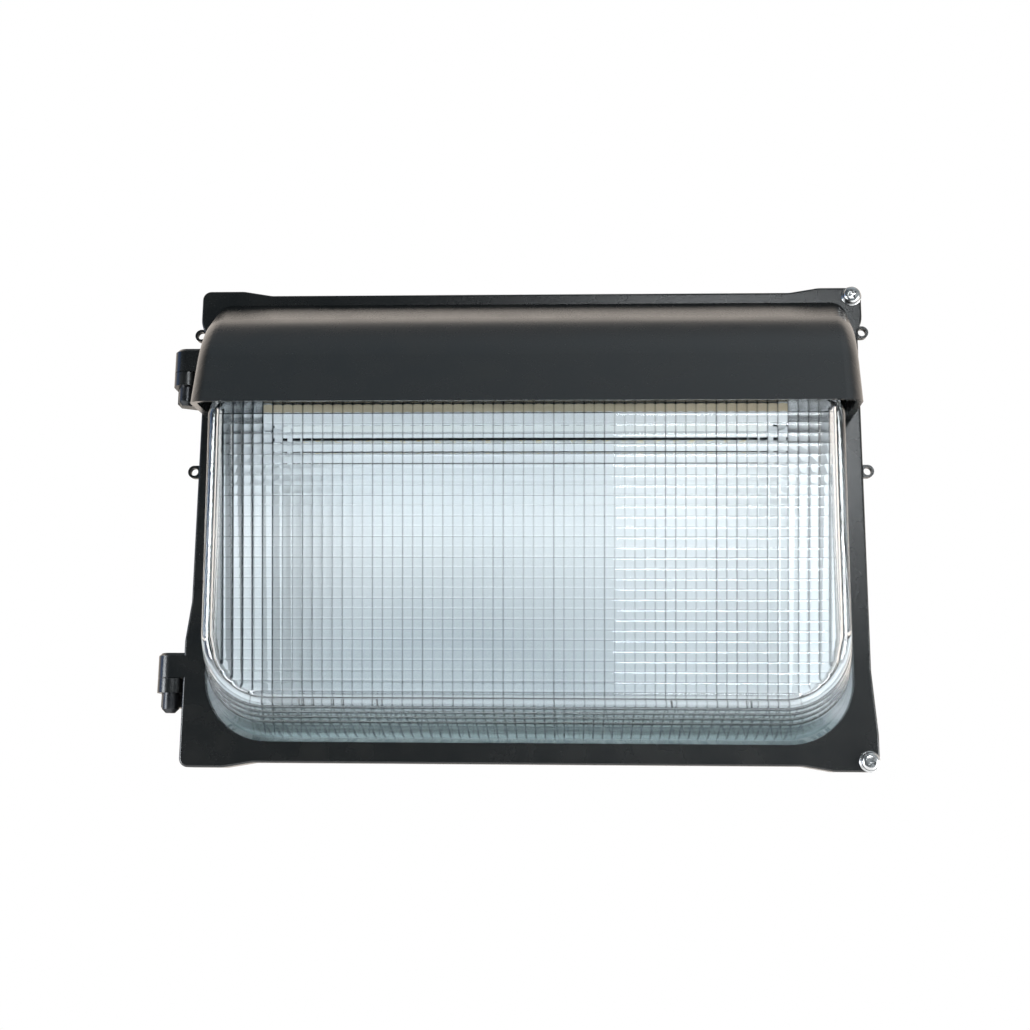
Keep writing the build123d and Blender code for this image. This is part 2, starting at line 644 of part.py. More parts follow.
with BuildPart() as door_frame:
    with BuildSketch(face(0)) as outline:
        with BuildLine():
            Polyline(*door_outline(), close=True)
        make_face()
        corners = outline.vertices().filter_by(
            lambda v: abs(abs(v.X) - PLATE_W / 2) < HAIR and abs(abs(v.Y) - TOP) < HAIR
        )
        fillet(corners, PLATE_CORNER_R)
        ramp_ends = outline.vertices().filter_by(
            lambda v: abs(v.X) < PLATE_W / 2 - EAR_X + HAIR or abs(v.Y) < TOP - EAR_Z + HAIR
        )
        fillet(ramp_ends, RAMP_R)
    extrude(amount=-DOOR_DEPTH)
    fillet(door_frame.faces().sort_by(Axis.Y)[0].edges(), FRONT_EDGE_R)
    with BuildSketch(face(-DOOR_DEPTH)):
        RectangleRounded(2 * (EDGE_X - RIM_WIDTH), 2 * (EDGE_Z - RIM_WIDTH), RIM_CORNER_R)
    extrude(amount=DOOR_DEPTH - PLATE_WALL, mode=Mode.SUBTRACT)
    with BuildSketch(face(-DOOR_DEPTH)):
        seal_ring(SEAL_W + 2 * SEAL_SIDE_AIR)
    extrude(amount=SEAL_D, mode=Mode.SUBTRACT)
    # hood, a shell open below
    add(hood_block(0, 0, PLATE_WALL / 2, HOOD_EDGE_R))
    add(hood_block(HOOD_WALL, HOOD_LIP_Z / 2, 0, HOOD_EDGE_R - HOOD_WALL), mode=Mode.SUBTRACT)
    with BuildSketch(face(0)):
        lens_mouth(WINDOW_GAP)
    extrude(amount=-PLATE_WALL, mode=Mode.SUBTRACT)
    # bosses for the lens clips and the light carrier
    with BuildSketch(face(-PLATE_WALL / 2)):
        with Locations(*CLIP_PLACES):
            Circle(CLIP_BOSS_R)
        with Locations(*CARRIER_PLACES):
            Circle(CLIP_BOSS_R)
    extrude(amount=-(CLIP_SEAT - PLATE_WALL / 2))
    with BuildSketch(face(-CLIP_SEAT)):
        with Locations(*CLIP_PLACES, *CARRIER_PLACES):
            Circle(M4_R)
    extrude(amount=CLIP_SEAT - PLATE_WALL, mode=Mode.SUBTRACT)
    for seat in HINGE_SEATS.values():
        add(hinge_arm(seat))
    # small accessory lugs beside the plate
    with BuildSketch(face(-LUG_BACK)):
        for side in (-1, 1):
            for z in LUG_Z:
                with Locations((side * (EDGE_X + LUG_OUT), z)):
                    Circle(LUG_R)
                with Locations((side * (EDGE_X + LUG_OUT / 2 - LUG_R / 2), z)):
                    Rectangle(LUG_OUT + LUG_R, 2 * LUG_R)
    extrude(amount=-LUG_T)
    with BuildSketch(face(0)):
        with GridLocations(2 * (EDGE_X + LUG_OUT), LUG_Z[0] - LUG_Z[1], 2, 2):
            with Locations((0, (LUG_Z[0] + LUG_Z[1]) / 2)):
                Circle(LUG_HOLE_R)
    extrude(amount=-DOOR_DEPTH / 2, mode=Mode.SUBTRACT)
    # screw holes in the right ears, counterbored behind for the retaining rings
    with BuildSketch(face(0)):
        with Locations(*EAR_SCREWS):
            Circle(SCREW_R + SCREW_HOLE_AIR)
    extrude(amount=-DOOR_DEPTH, mode=Mode.SUBTRACT)
    with BuildSketch(face(-DOOR_DEPTH)):
        with Locations(*EAR_SCREWS):
            Circle(RING_BORE_R)
    extrude(amount=RING_BORE_DEPTH, mode=Mode.SUBTRACT)
keep(door_frame, "door_frame")

with BuildPart() as door_seal:
    with BuildSketch(face(-DOOR_DEPTH)):
        seal_ring(SEAL_W)
    extrude(amount=SEAL_D)
keep(door_seal, "door_seal")

for name, seat in HINGE_SEATS.items():
    bottom = seat + HINGE_AIR / 2
    with BuildPart() as hinge_pin:
        with BuildSketch(Plane.XY.offset(bottom + ARM_PIN_DEPTH)):
            with Locations((HINGE_X, HINGE_Y)):
                Circle(PIN_R)
        extrude(amount=-(ARM_PIN_DEPTH + HINGE_AIR + BARREL_H + PIN_TAIL))
        chamfer(hinge_pin.faces().sort_by(Axis.Z)[0].edges(), PIN_POINT)
    keep(hinge_pin, f"hinge_pin_{name}")


# ---- lens and its holding ---------------------------------------------------
def lens_face(up, inset=0.0):
    """(out, z) on the glass face, `up` along it from its sharp lower edge, moved in by `inset`."""
    tilt = radians(LENS_TILT)
    low_z = LENS_BASE_BOTTOM + (CLAMP_Y + LENS_OUT_BOTTOM) * tan(radians(LENS_LOW_DRAFT))
    return (
        LENS_OUT_BOTTOM + up * sin(tilt) - inset * cos(tilt),
        low_z + up * cos(tilt) + inset * sin(tilt),
    )


def corner_flat(inset, edge_r):
    """Centre (x, up) and radius of the flat of the face at its low corners."""
    low_side = radians(90 - LENS_LOW_DRAFT - LENS_TILT)
    widen = (CLAMP_Y + LENS_OUT_BOTTOM) * tan(radians(LENS_SIDE_DRAFT))
    centre_x = LENS_BASE_W / 2 - widen - LENS_LOW_R
    return centre_x, LENS_LOW_R / cos(radians(LENS_TILT)), LENS_LOW_R - inset - edge_r * tan(
        (low_side + radians(90 - LENS_SIDE_DRAFT)) / 4)


def flat_reach(from_centre, radius):
    """Half chord of the corner flat at a distance from its centre."""
    return sqrt(max(radius ** 2 - from_centre ** 2, 0)) - GROOVE_END


def row_cutters():
    """Cutters for the level V grooves across the face of the glass."""
    centre_x, centre_up, radius = corner_flat(0, LENS_EDGE_R)
    width, depth = ROW_GROOVE
    with BuildPart() as rows:
        for row in range(ROW_GROOVES):
            up = ROW_START + row * ROW_PITCH
            half = COLUMN_PITCH * (COLUMN_GROOVES + 1) / 2
            if up < centre_up:
                half = min(half, centre_x + flat_reach(centre_up - up, radius))
            corners = lens_face(up - width, -depth), lens_face(up + width, -depth), lens_face(up, depth)
            with BuildSketch(Plane.YZ):
                Polygon(*[(-(PLATE_Y + out), z) for out, z in corners], align=None)
            extrude(amount=half, both=True)
    return rows.part


def column_cutters():
    """Cutters for the upright V grooves inside the glass, shorter over its round low corners."""
    edge_r = LENS_EDGE_R - LENS_WALL / 2
    centre_x, centre_up, radius = corner_flat(LENS_WALL, edge_r)
    width, depth = COLUMN_GROOVE
    tilt, top_draft = radians(LENS_TILT), tan(radians(LENS_TOP_DRAFT))
    room = LENS_BASE_TOP - (CLAMP_Y + LENS_OUT_BOTTOM) * top_draft - lens_face(0)[1]
    top = room / (cos(tilt) + sin(tilt) * top_draft) - LENS_WALL - edge_r - GROOVE_END
    with BuildPart() as columns:
        for column in range(COLUMN_GROOVES):
            x = (column - (COLUMN_GROOVES - 1) / 2) * COLUMN_PITCH
            low = centre_up - flat_reach(max(abs(x) - centre_x, 0), radius)
            out, z = lens_face(low, LENS_WALL)
            start = Plane(origin=(x, -(PLATE_Y + out), z), x_dir=(1, 0, 0),
                          z_dir=(0, -sin(tilt), cos(tilt)))
            with BuildSketch(start):
                Polygon((-width, depth), (width, depth), (0, -depth), align=None)
            extrude(amount=top - low)
    return columns.part


with BuildPart() as lens:
    add(lens_solid(0, LENS_EDGE_R))
    with BuildSketch(face(-SEAL_OUT)):
        lens_mouth(LENS_FLANGE)
    extrude(amount=-LENS_FLANGE_T)
    add(lens_solid(LENS_WALL, LENS_EDGE_R - LENS_WALL / 2), mode=Mode.SUBTRACT)
    add(row_cutters(), mode=Mode.SUBTRACT)
    add(column_cutters(), mode=Mode.SUBTRACT)
keep(lens, "lens")

with BuildPart() as lens_seal:
    with BuildSketch(face(-PLATE_WALL)):
        lens_mouth(LENS_FLANGE)
        lens_mouth(WINDOW_GAP, mode=Mode.SUBTRACT)
    extrude(amount=-LENS_SEAL_T)
keep(lens_seal, "lens_seal")


def clip_tab(place):
    """Flat tab from a boss across the edge of the glass flange, in a sketch."""
    x, z = place
    arc_r = LENS_LOW_R if z < 0 else LENS_TOP_R
    arc_x = (LENS_BASE_W / 2 - arc_r) * (1 if x > 0 else -1)
    arc_z = LENS_BASE_BOTTOM + arc_r if z < 0 else LENS_BASE_TOP - arc_r
    arc_x = arc_x if z < 0 else x
    to_arc = Vector(arc_x - x, arc_z - z)
    gap = to_arc.length - arc_r - LENS_FLANGE
    end = Vector(x, z) + to_arc.normalized() * (gap + CLIP_OVERLAP - CLIP_W / 2)
    mid = (Vector(x, z) + end) / 2
    turn = Vector(1, 0).get_signed_angle(to_arc, Vector(0, 0, 1))
    with Locations(Location((mid.X, mid.Y, 0), (0, 0, turn))):
        SlotCenterToCenter((end - Vector(x, z)).length, CLIP_W)


with BuildPart() as lens_clips:
    with BuildSketch(face(-CLIP_SEAT)):
        for place in CLIP_PLACES:
            clip_tab(place)
        with Locations(*CLIP_PLACES):
            Circle(M4_R + SCREW_CLEARANCE, mode=Mode.SUBTRACT)
    extrude(amount=-CLIP_T)
keep(lens_clips, "lens_clips")


def behind(depth):
    """Plane `depth` behind the plate front, facing the wall; local x runs to the left."""
    return Plane(origin=(0, -(PLATE_Y - depth), 0), x_dir=(-1, 0, 0), z_dir=(0, 1, 0))


clip_screws = screw_group(
    behind(CLIP_SEAT + CLIP_T), [(-x, z) for x, z in CLIP_PLACES], M4_R - THREAD_AIR,
    CLIP_T + CLIP_SEAT - PLATE_WALL - 1, M4_HEAD_R, M4_HEAD_H,
)
keep(clip_screws, "clip_screws")


# ---- reflector --------------------------------------------------------------
def pan_mouth(grow=0.0, mode=Mode.ADD):
    """Mouth of the reflector pan, below the light carrier, in a sketch."""
    x = LENS_BASE_W / 2 - LENS_WALL - REFLECTOR_SIDE
    low = LENS_BASE_BOTTOM + LENS_WALL + REFLECTOR_SIDE
    high = LENS_BASE_TOP - REFLECTOR_TOP
    with Locations((0, (low + high) / 2)):
        RectangleRounded(
            2 * x + 2 * grow, high - low + 2 * grow, REFLECTOR_R + grow, mode=mode
        )


with BuildPart() as reflector:
    with BuildSketch(behind(CLAMP_Y)):
        lens_mouth(LENS_FLANGE)
    extrude(amount=REFLECTOR_T)
    with BuildSketch(behind(CLAMP_Y)):
        pan_mouth(REFLECTOR_T)
    extrude(amount=REFLECTOR_DEPTH, taper=REFLECTOR_DRAFT)
    with BuildSketch(behind(CLAMP_Y)):
        pan_mouth()
    extrude(amount=REFLECTOR_DEPTH - REFLECTOR_T, taper=REFLECTOR_DRAFT, mode=Mode.SUBTRACT)
    with BuildSketch(behind(CLAMP_Y)):
        with Locations((0, LENS_BASE_TOP - REFLECTOR_TOP + REFLECTOR_T + NOTCH_H / 2)):
            Rectangle(CARRIER_W + 2, NOTCH_H)
    extrude(amount=REFLECTOR_T, mode=Mode.SUBTRACT)
keep(reflector, "reflector")


# ---- light engine -----------------------------------------------------------
def shelf_z(out, drop=0.0):
    """Height of the sloping carrier shelf, `drop` below its top face, `out` before the plate."""
    root = LENS_BASE_TOP - LENS_WALL - CARRIER_DROP
    return root - out * tan(radians(CARRIER_SLOPE)) - drop / cos(radians(CARRIER_SLOPE))


def shelf_plane(drop):
    """Plane along the carrier shelf, `drop` below its top face, facing down."""
    slope = radians(CARRIER_SLOPE)
    out = CARRIER_REACH - BOARD_L / 2 - BOARD_SETBACK
    down = Vector(0, sin(slope), -cos(slope))
    middle = Vector(0, -(PLATE_Y + out), shelf_z(out))
    return Plane(origin=middle + down * drop, x_dir=(1, 0, 0), z_dir=down)


BOARD_SCREWS = [(side * BOARD_SCREW_X, 0) for side in (-1, 1)]
carrier_back = CLIP_SEAT + CARRIER_T
board_top = CARRIER_T + PAD_T

with BuildPart() as led_carrier:
    flange_top = CARRIER_SCREW_Z + CARRIER_EDGE
    with BuildSketch(Plane.YZ):
        with BuildLine():
            Polyline(*[(-(PLATE_Y + out), z) for out, z in (
                (-CLIP_SEAT, flange_top),
                (-CLIP_SEAT, shelf_z(-CLIP_SEAT)),
                (CARRIER_REACH, shelf_z(CARRIER_REACH)),
                (CARRIER_REACH, shelf_z(CARRIER_REACH, CARRIER_T)),
                (-carrier_back, shelf_z(-carrier_back, CARRIER_T)),
                (-carrier_back, flange_top),
            )], close=True)
        make_face()
    extrude(amount=CARRIER_W / 2, both=True)
    with BuildSketch(face(-CLIP_SEAT)):
        with Locations(*CARRIER_PLACES):
            Circle(M4_R + SCREW_CLEARANCE)
    extrude(amount=-CARRIER_T, mode=Mode.SUBTRACT)
    with BuildSketch(shelf_plane(CARRIER_T)):
        with Locations(*BOARD_SCREWS):
            Circle(M3_R)
    extrude(amount=-CARRIER_T, mode=Mode.SUBTRACT)
keep(led_carrier, "led_carrier")

carrier_screws = screw_group(
    behind(carrier_back), [(-x, z) for x, z in CARRIER_PLACES], M4_R - THREAD_AIR,
    CARRIER_T + CLIP_SEAT - PLATE_WALL - 1, M4_HEAD_R, M4_HEAD_H,
)
keep(carrier_screws, "carrier_screws")

with BuildPart() as thermal_pad:
    with BuildSketch(shelf_plane(CARRIER_T)):
        Rectangle(BOARD_W, BOARD_L)
        with Locations(*BOARD_SCREWS):
            Circle(M3_R + SCREW_CLEARANCE, mode=Mode.SUBTRACT)
    extrude(amount=PAD_T)
keep(thermal_pad, "thermal_pad")

with BuildPart() as led_board:
    with BuildSketch(shelf_plane(board_top)):
        Rectangle(BOARD_W, BOARD_L)
        with Locations(*BOARD_SCREWS):
            Circle(M3_R + SCREW_CLEARANCE, mode=Mode.SUBTRACT)
    extrude(amount=BOARD_T)
keep(led_board, "led_board")

with BuildPart() as leds:
    with BuildSketch(shelf_plane(board_top + BOARD_T)):
        with GridLocations(LED_PITCH_X, LED_PITCH_Y, LED_COLUMNS, LED_ROWS):
            Rectangle(LED_SIZE, LED_SIZE)
    extrude(amount=LED_H)
keep(leds, "leds")

board_screws = screw_group(
    shelf_plane(board_top + BOARD_T), BOARD_SCREWS, M3_R - THREAD_AIR,
    BOARD_T + PAD_T + CARRIER_T, M3_HEAD_R, M3_HEAD_H,
)
keep(board_screws, "board_screws")


# ---- captive door screws ----------------------------------------------------
for name, screw_z in SCREW_PLACES.items():
    seat = Plane(origin=(SCREW_X, -(PLATE_Y + WASHER_T), screw_z), x_dir=(1, 0, 0),
                 z_dir=(0, -1, 0))
    with BuildPart() as captive_screw:
        add(pan_screw(seat, SCREW_R, WASHER_T + DOOR_DEPTH + SEAM + SCREW_HOLD,
                      SCREW_HEAD_R, SCREW_HEAD_H))
    keep(captive_screw, f"captive_screw_{name}")
    with BuildPart() as captive_washer:
        with BuildSketch(seat):
            Circle(WASHER_R)
            Circle(SCREW_R + THREAD_AIR, mode=Mode.SUBTRACT)
        extrude(amount=-WASHER_T)
    keep(captive_washer, f"captive_washer_{name}")
    with BuildPart() as captive_ring:
        with BuildSketch(face(-DOOR_DEPTH + RING_IN)):
            with Locations((SCREW_X, screw_z)):
                Circle(RING_R)
                Circle(SCREW_R + THREAD_AIR, mode=Mode.SUBTRACT)
        extrude(amount=RING_T)
    keep(captive_ring, f"captive_ring_{name}")
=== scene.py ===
"""A wall pack light with a prismatic glass lens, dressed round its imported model.

Lengths in the tables are millimetres, in the model's frame: X to the right, Z up, -Y out of
the wall. "out" is the distance in front of the door plate. Meshes are written in metres.
"""

import bmesh
import bpy
import numpy as np
from mathutils import Matrix


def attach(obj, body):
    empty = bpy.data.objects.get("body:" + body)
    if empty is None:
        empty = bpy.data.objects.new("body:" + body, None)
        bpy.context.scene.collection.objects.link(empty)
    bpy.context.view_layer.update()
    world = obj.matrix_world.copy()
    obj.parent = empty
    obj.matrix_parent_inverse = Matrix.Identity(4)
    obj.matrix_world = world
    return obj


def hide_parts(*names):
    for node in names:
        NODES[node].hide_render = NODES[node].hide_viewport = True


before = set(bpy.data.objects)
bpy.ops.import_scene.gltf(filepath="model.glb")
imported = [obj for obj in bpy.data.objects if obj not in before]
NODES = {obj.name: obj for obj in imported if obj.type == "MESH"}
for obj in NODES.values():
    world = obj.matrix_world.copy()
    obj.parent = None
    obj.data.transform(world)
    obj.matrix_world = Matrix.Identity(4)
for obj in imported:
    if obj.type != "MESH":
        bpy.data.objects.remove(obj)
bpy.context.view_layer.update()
RANDOM = np.random.default_rng(11)

PLATE_FRONT = -104.3
COLUMN_PITCH = 4.717  # between the upright ribs of the glass


# ---- camera -----------------------------------------------------------------
FOCAL_PX, IMAGE_PX = 1400.0, 1030.0
CAMERA_AT = (22.10, -803.95, -132.82)
PITCH, YAW, ROLL = -0.19208, 0.04063, 0.00783


def aim_camera():
    """Camera axes = roll about the view, times pitch, times yaw, times looking along +Y."""
    cp, sp = np.cos(PITCH), np.sin(PITCH)
    cy, sy = np.cos(YAW), np.sin(YAW)
    cr, sr = np.cos(ROLL), np.sin(ROLL)
    pitch = np.array([[1, 0, 0], [0, cp, -sp], [0, sp, cp]])
    yaw = np.array([[cy, 0, sy], [0, 1, 0], [-sy, 0, cy]])
    roll = np.array([[cr, -sr, 0], [sr, cr, 0], [0, 0, 1]])
    right, down, ahead = roll @ pitch @ yaw @ np.array([[1, 0, 0], [0, 0, -1], [0, 1, 0]])
    lens = bpy.data.cameras.new("camera")
    lens.sensor_width = 36.0
    lens.lens = FOCAL_PX / IMAGE_PX * 36.0
    lens.clip_start, lens.clip_end = 0.02, 100.0
    camera = bpy.data.objects.new("camera", lens)
    turn = Matrix(np.column_stack([right, -down, -ahead]).tolist()).to_4x4()
    camera.matrix_world = Matrix.Translation([c / 1000 for c in CAMERA_AT]) @ turn
    bpy.context.scene.collection.objects.link(camera)
    bpy.context.scene.camera = camera


aim_camera()


# ---- finishes ---------------------------------------------------------------
class Finish:
    """A node material with short calls for noise, ramps and bump in object coordinates."""

    def __init__(self, name, **sockets):
        self.material = bpy.data.materials.new(name)
        self.material.use_nodes = True
        self.nodes = self.material.node_tree.nodes
        self.links = self.material.node_tree.links
        self.shader = self.nodes["Principled BSDF"]
        self.output = self.nodes["Material Output"]
        self.place = self.add("ShaderNodeTexCoord").outputs["Object"]
        for key, value in sockets.items():
            self.shader.inputs[key.replace("_", " ")].default_value = value

    def add(self, kind, **settings):
        node = self.nodes.new(kind)
        for key, value in settings.items():
            setattr(node, key, value)
        return node

    def noise(self, scale, detail, stretch=None):
        """Noise with `scale` features to the metre, stretched by the three factors."""
        node = self.add("ShaderNodeTexNoise")
        node.inputs["Scale"].default_value = scale
        node.inputs["Detail"].default_value = detail
        self.links.new(self.stretched(stretch), node.inputs["Vector"])
        return node.outputs["Fac"]

    def cells(self, scale):
        """Distance to the nearest of `scale` cell centres to the metre."""
        node = self.add("ShaderNodeTexVoronoi")
        node.inputs["Scale"].default_value = scale
        self.links.new(self.place, node.inputs["Vector"])
        return node.outputs["Distance"]

    def stretched(self, stretch):
        if stretch is None:
            return self.place
        node = self.add("ShaderNodeMapping")
        node.inputs["Scale"].default_value = stretch
        self.links.new(self.place, node.inputs["Vector"])
        return node.outputs["Vector"]

    def ramp(self, value, stops):
        """Colours at places along the value."""
        node = self.add("ShaderNodeValToRGB")
        band = node.color_ramp.elements
        while len(band) < len(stops):
            band.new(0.5)
        for stop, (at, colour) in zip(band, stops):
            stop.position = at
            stop.color = (*colour, 1)
        self.links.new(value, node.inputs["Fac"])
        return node.outputs["Color"]

    def span(self, value, low, high):
        """The value carried from 0..1 to low..high."""
        node = self.add("ShaderNodeMapRange")
        node.inputs["To Min"].default_value = low
        node.inputs["To Max"].default_value = high
        self.links.new(value, node.inputs["Value"])
        return node.outputs["Result"]

    def stepped(self, value, low, high):
        """Smooth 0..1 as the value goes from low to high."""
        node = self.add("ShaderNodeMapRange", interpolation_type="SMOOTHSTEP")
        node.inputs["From Min"].default_value, node.inputs["From Max"].default_value = low, high
        self.links.new(value, node.inputs["Value"])
        return node.outputs["Result"]

    def mix(self, factor, one, other):
        """The colour `one` carried to `other` by the factor."""
        node = self.add("ShaderNodeMix", data_type="RGBA")
        self.wire(factor, node.inputs[0])
        self.wire(one, node.inputs[6])
        self.wire(other, node.inputs[7])
        return node.outputs[2]

    def math(self, operation, one, other=0.5):
        """One step of arithmetic; operations on a single value leave `other` unused."""
        node = self.add("ShaderNodeMath", operation=operation)
        self.wire(one, node.inputs[0])
        self.wire(other, node.inputs[1])
        return node.outputs[0]

    def wire(self, value, socket):
        if isinstance(value, (int, float)):
            socket.default_value = value
        elif isinstance(value, tuple):
            socket.default_value = (*value, 1)
        else:
            self.links.new(value, socket)

    def bump(self, height, distance, strength=1.0, after=None):
        """Bump of `distance` metres; returns the normal for a further bump or the shader."""
        node = self.add("ShaderNodeBump")
        node.inputs["Distance"].default_value = distance
        node.inputs["Strength"].default_value = strength
        self.links.new(height, node.inputs["Height"])
        if after is not None:
            self.links.new(after, node.inputs["Normal"])
        return node.outputs["Normal"]

    def set(self, **sockets):
        for key, value in sockets.items():
            self.wire(value, self.shader.inputs[key.replace("_", " ")])
        return self


def powder_coat():
    """Dark bronze polyester powder: fine orange peel, faint mottling, satin."""
    coat = Finish("dark bronze powder coat", IOR=1.48)
    mottle = coat.noise(60, 4)
    colour = coat.ramp(
        mottle, [(0.3, (0.0024, 0.0029, 0.0029)), (0.75, (0.0048, 0.0047, 0.0042))])
    peel = coat.noise(900, 2)
    grit = coat.cells(2600)
    normal = coat.bump(peel, 0.00002, 0.8)
    normal = coat.bump(grit, 0.000008, 0.5, normal)
    return coat.set(
        Base_Color=colour, Roughness=coat.span(mottle, 0.22, 0.32), Normal=normal,
    ).material


def stainless():
    """Polished steel with fine turning marks and faint handling smears."""
    steel = Finish("polished stainless steel", Metallic=1.0)
    smear = steel.noise(140, 3)
    lines = steel.noise(900, 2, (1, 0.05, 1))
    colour = steel.ramp(smear, [(0.25, (0.40, 0.40, 0.40)), (0.8, (0.56, 0.555, 0.545))])
    return steel.set(
        Base_Color=colour, Roughness=steel.span(smear, 0.16, 0.34),
        Normal=steel.bump(lines, 0.00001, 0.4),
    ).material


def zinc():
    """Zinc-plated steel with a bright, slightly blue passivation."""
    plate = Finish("zinc plated steel", Metallic=1.0)
    cloud = plate.noise(90, 4)
    colour = plate.ramp(cloud, [
        (0.3, (0.50, 0.52, 0.54)), (0.6, (0.66, 0.67, 0.66)), (0.85, (0.60, 0.57, 0.48))])
    return plate.set(
        Base_Color=colour, Roughness=plate.span(cloud, 0.25, 0.42),
        Normal=plate.bump(plate.noise(1500, 2), 0.00001, 0.5),
    ).material


def pressed_glass():
    """Clear pressed glass, faintly blue, with shallow waves and dark lines of painted shade in
    the grooves.

    The piece's own "line" attribute says how dark a line of painted shade is drawn at a
    point. Painted shade also darkens the glass in its lower middle, at its upper left and on
    its lower wall, where the lines of the upright ribs are drawn as painted shade by place.
    Places are in metres. Shadow rays pass.
    """
    face_end, rim_start, corner_start = (-0.0942, -0.0956), (-0.1095, -0.1075), (0.139, 0.125)
    line_half, line_shift, wall_shade_line_strength = (0.13, 0.03), 100.5, 0.72
    glass = Finish("pressed clear glass", Transmission_Weight=1.0, Roughness=0.015, IOR=1.50)
    axes = glass.add("ShaderNodeSeparateXYZ")
    glass.links.new(glass.place, axes.inputs[0])
    across, up = axes.outputs["X"], axes.outputs["Z"]

    tone_and_painted_shade = glass.ramp(
        glass.noise(9, 2), [(0.3, (0.955, 0.975, 0.985)), (0.7, (0.98, 0.985, 0.995))])
    # Painted shade: the glass is darker towards its lower middle.
    painted_shade_lower_middle = glass.add("ShaderNodeTexGradient", gradient_type="SPHERICAL")
    place = glass.add("ShaderNodeMapping")
    place.inputs["Location"].default_value = (0.15, 0, 0.95)
    place.inputs["Scale"].default_value = (4.6, 0, 11.0)
    glass.links.new(glass.place, place.inputs["Vector"])
    glass.links.new(place.outputs["Vector"], painted_shade_lower_middle.inputs["Vector"])
    tone_and_painted_shade = glass.mix(glass.span(painted_shade_lower_middle.outputs["Fac"], 0, 1.3), tone_and_painted_shade, (0.50, 0.55, 0.58))
    # Painted shade: the glass is darker at its upper left.
    painted_shade_upper_left = glass.math(
        "MULTIPLY", glass.stepped(up, -0.030, 0.012), glass.stepped(across, 0.10, 0.01))
    tone_and_painted_shade = glass.mix(painted_shade_upper_left, tone_and_painted_shade, (0.76, 0.80, 0.83))
    # Painted shade: the glass is darker on its lower wall.
    tone_and_painted_shade = glass.mix(glass.stepped(up, -0.095, -0.101), tone_and_painted_shade, (0.34, 0.42, 0.43))

    # Painted shade: dark lines of the upright ribs, drawn by place on the lower wall.
    along = glass.math("ADD", glass.math("DIVIDE", across, COLUMN_PITCH / 1000), line_shift)
    off_line = glass.math("ABSOLUTE", glass.math("SUBTRACT", glass.math("FRACT", along), 0.5))
    below_face = glass.math(
        "MULTIPLY", glass.stepped(off_line, *line_half), glass.stepped(up, *face_end))
    clear_of_ends = glass.math(
        "MULTIPLY", glass.stepped(up, *rim_start),
        glass.stepped(glass.math("ABSOLUTE", across), *corner_start))
    painted_wall_shade_line = glass.math("MULTIPLY", below_face, clear_of_ends)
    line = glass.add("ShaderNodeAttribute", attribute_name="line").outputs["Fac"]
    line = glass.math("MAXIMUM", line, glass.math("MULTIPLY", painted_wall_shade_line, wall_shade_line_strength))
    # Painted shade: the base colour goes near black along the grooves' lines.
    glass.set(
        Base_Color=glass.mix(line, tone_and_painted_shade, (0.010, 0.012, 0.016)),
        Normal=glass.bump(glass.noise(160, 3), 0.00004, 0.5),
    )

    clear = glass.add("ShaderNodeBsdfTransparent")
    clear.inputs["Color"].default_value = (0.90, 0.92, 0.93, 1)
    ray = glass.add("ShaderNodeLightPath").outputs["Is Shadow Ray"]
    either = glass.add("ShaderNodeMixShader")
    glass.links.new(ray, either.inputs[0])
    glass.links.new(glass.shader.outputs[0], either.inputs[1])
    glass.links.new(clear.outputs[0], either.inputs[2])
    glass.links.new(either.outputs[0], glass.output.inputs["Surface"])
    return glass.material


def silicone():
    """Grey silicone rubber with a soft bloom."""
    rubber = Finish("grey silicone rubber", IOR=1.41)
    bloom = rubber.noise(220, 4)
    colour = rubber.ramp(bloom, [(0.3, (0.20, 0.205, 0.21)), (0.8, (0.30, 0.30, 0.30))])
    return rubber.set(
        Base_Color=colour, Roughness=rubber.span(bloom, 0.55, 0.75),
        Normal=rubber.bump(rubber.noise(1800, 2), 0.00002, 0.5),
    ).material


def white_enamel():
    """Baked white reflector enamel with a light orange peel."""
    enamel = Finish("white reflector enamel", IOR=1.5)
    peel = enamel.noise(420, 2)
    colour = enamel.ramp(
        enamel.noise(14, 3), [(0.3, (0.86, 0.87, 0.87)), (0.7, (0.90, 0.90, 0.89))])
    return enamel.set(
        Base_Color=colour, Roughness=enamel.span(peel, 0.28, 0.38),
        Normal=enamel.bump(peel, 0.00004, 0.5),
    ).material


def mill_aluminium():
    """Mill-finish aluminium sheet, rolled along X."""
    sheet = Finish("mill finish aluminium", Metallic=1.0)
    grain = sheet.noise(700, 3, (0.04, 1, 1))
    colour = sheet.ramp(grain, [(0.3, (0.62, 0.63, 0.64)), (0.7, (0.78, 0.79, 0.80))])
    return sheet.set(
        Base_Color=colour, Roughness=sheet.span(grain, 0.30, 0.48),
        Normal=sheet.bump(grain, 0.00001, 0.6),
    ).material


def gold_chromate():
    """Aluminium with a tan chromate conversion, rolled along X."""
    sheet = Finish("tan chromated aluminium", Metallic=0.55)
    grain = sheet.noise(700, 3, (0.04, 1, 1))
    stain = sheet.noise(45, 4)
    rolled = sheet.ramp(grain, [(0.3, (0.52, 0.40, 0.24)), (0.7, (0.66, 0.53, 0.34))])
    colour = sheet.mix(stain, rolled, (0.60, 0.52, 0.38))
    return sheet.set(
        Base_Color=colour, Roughness=sheet.span(grain, 0.35, 0.55),
        Normal=sheet.bump(grain, 0.00001, 0.6),
    ).material


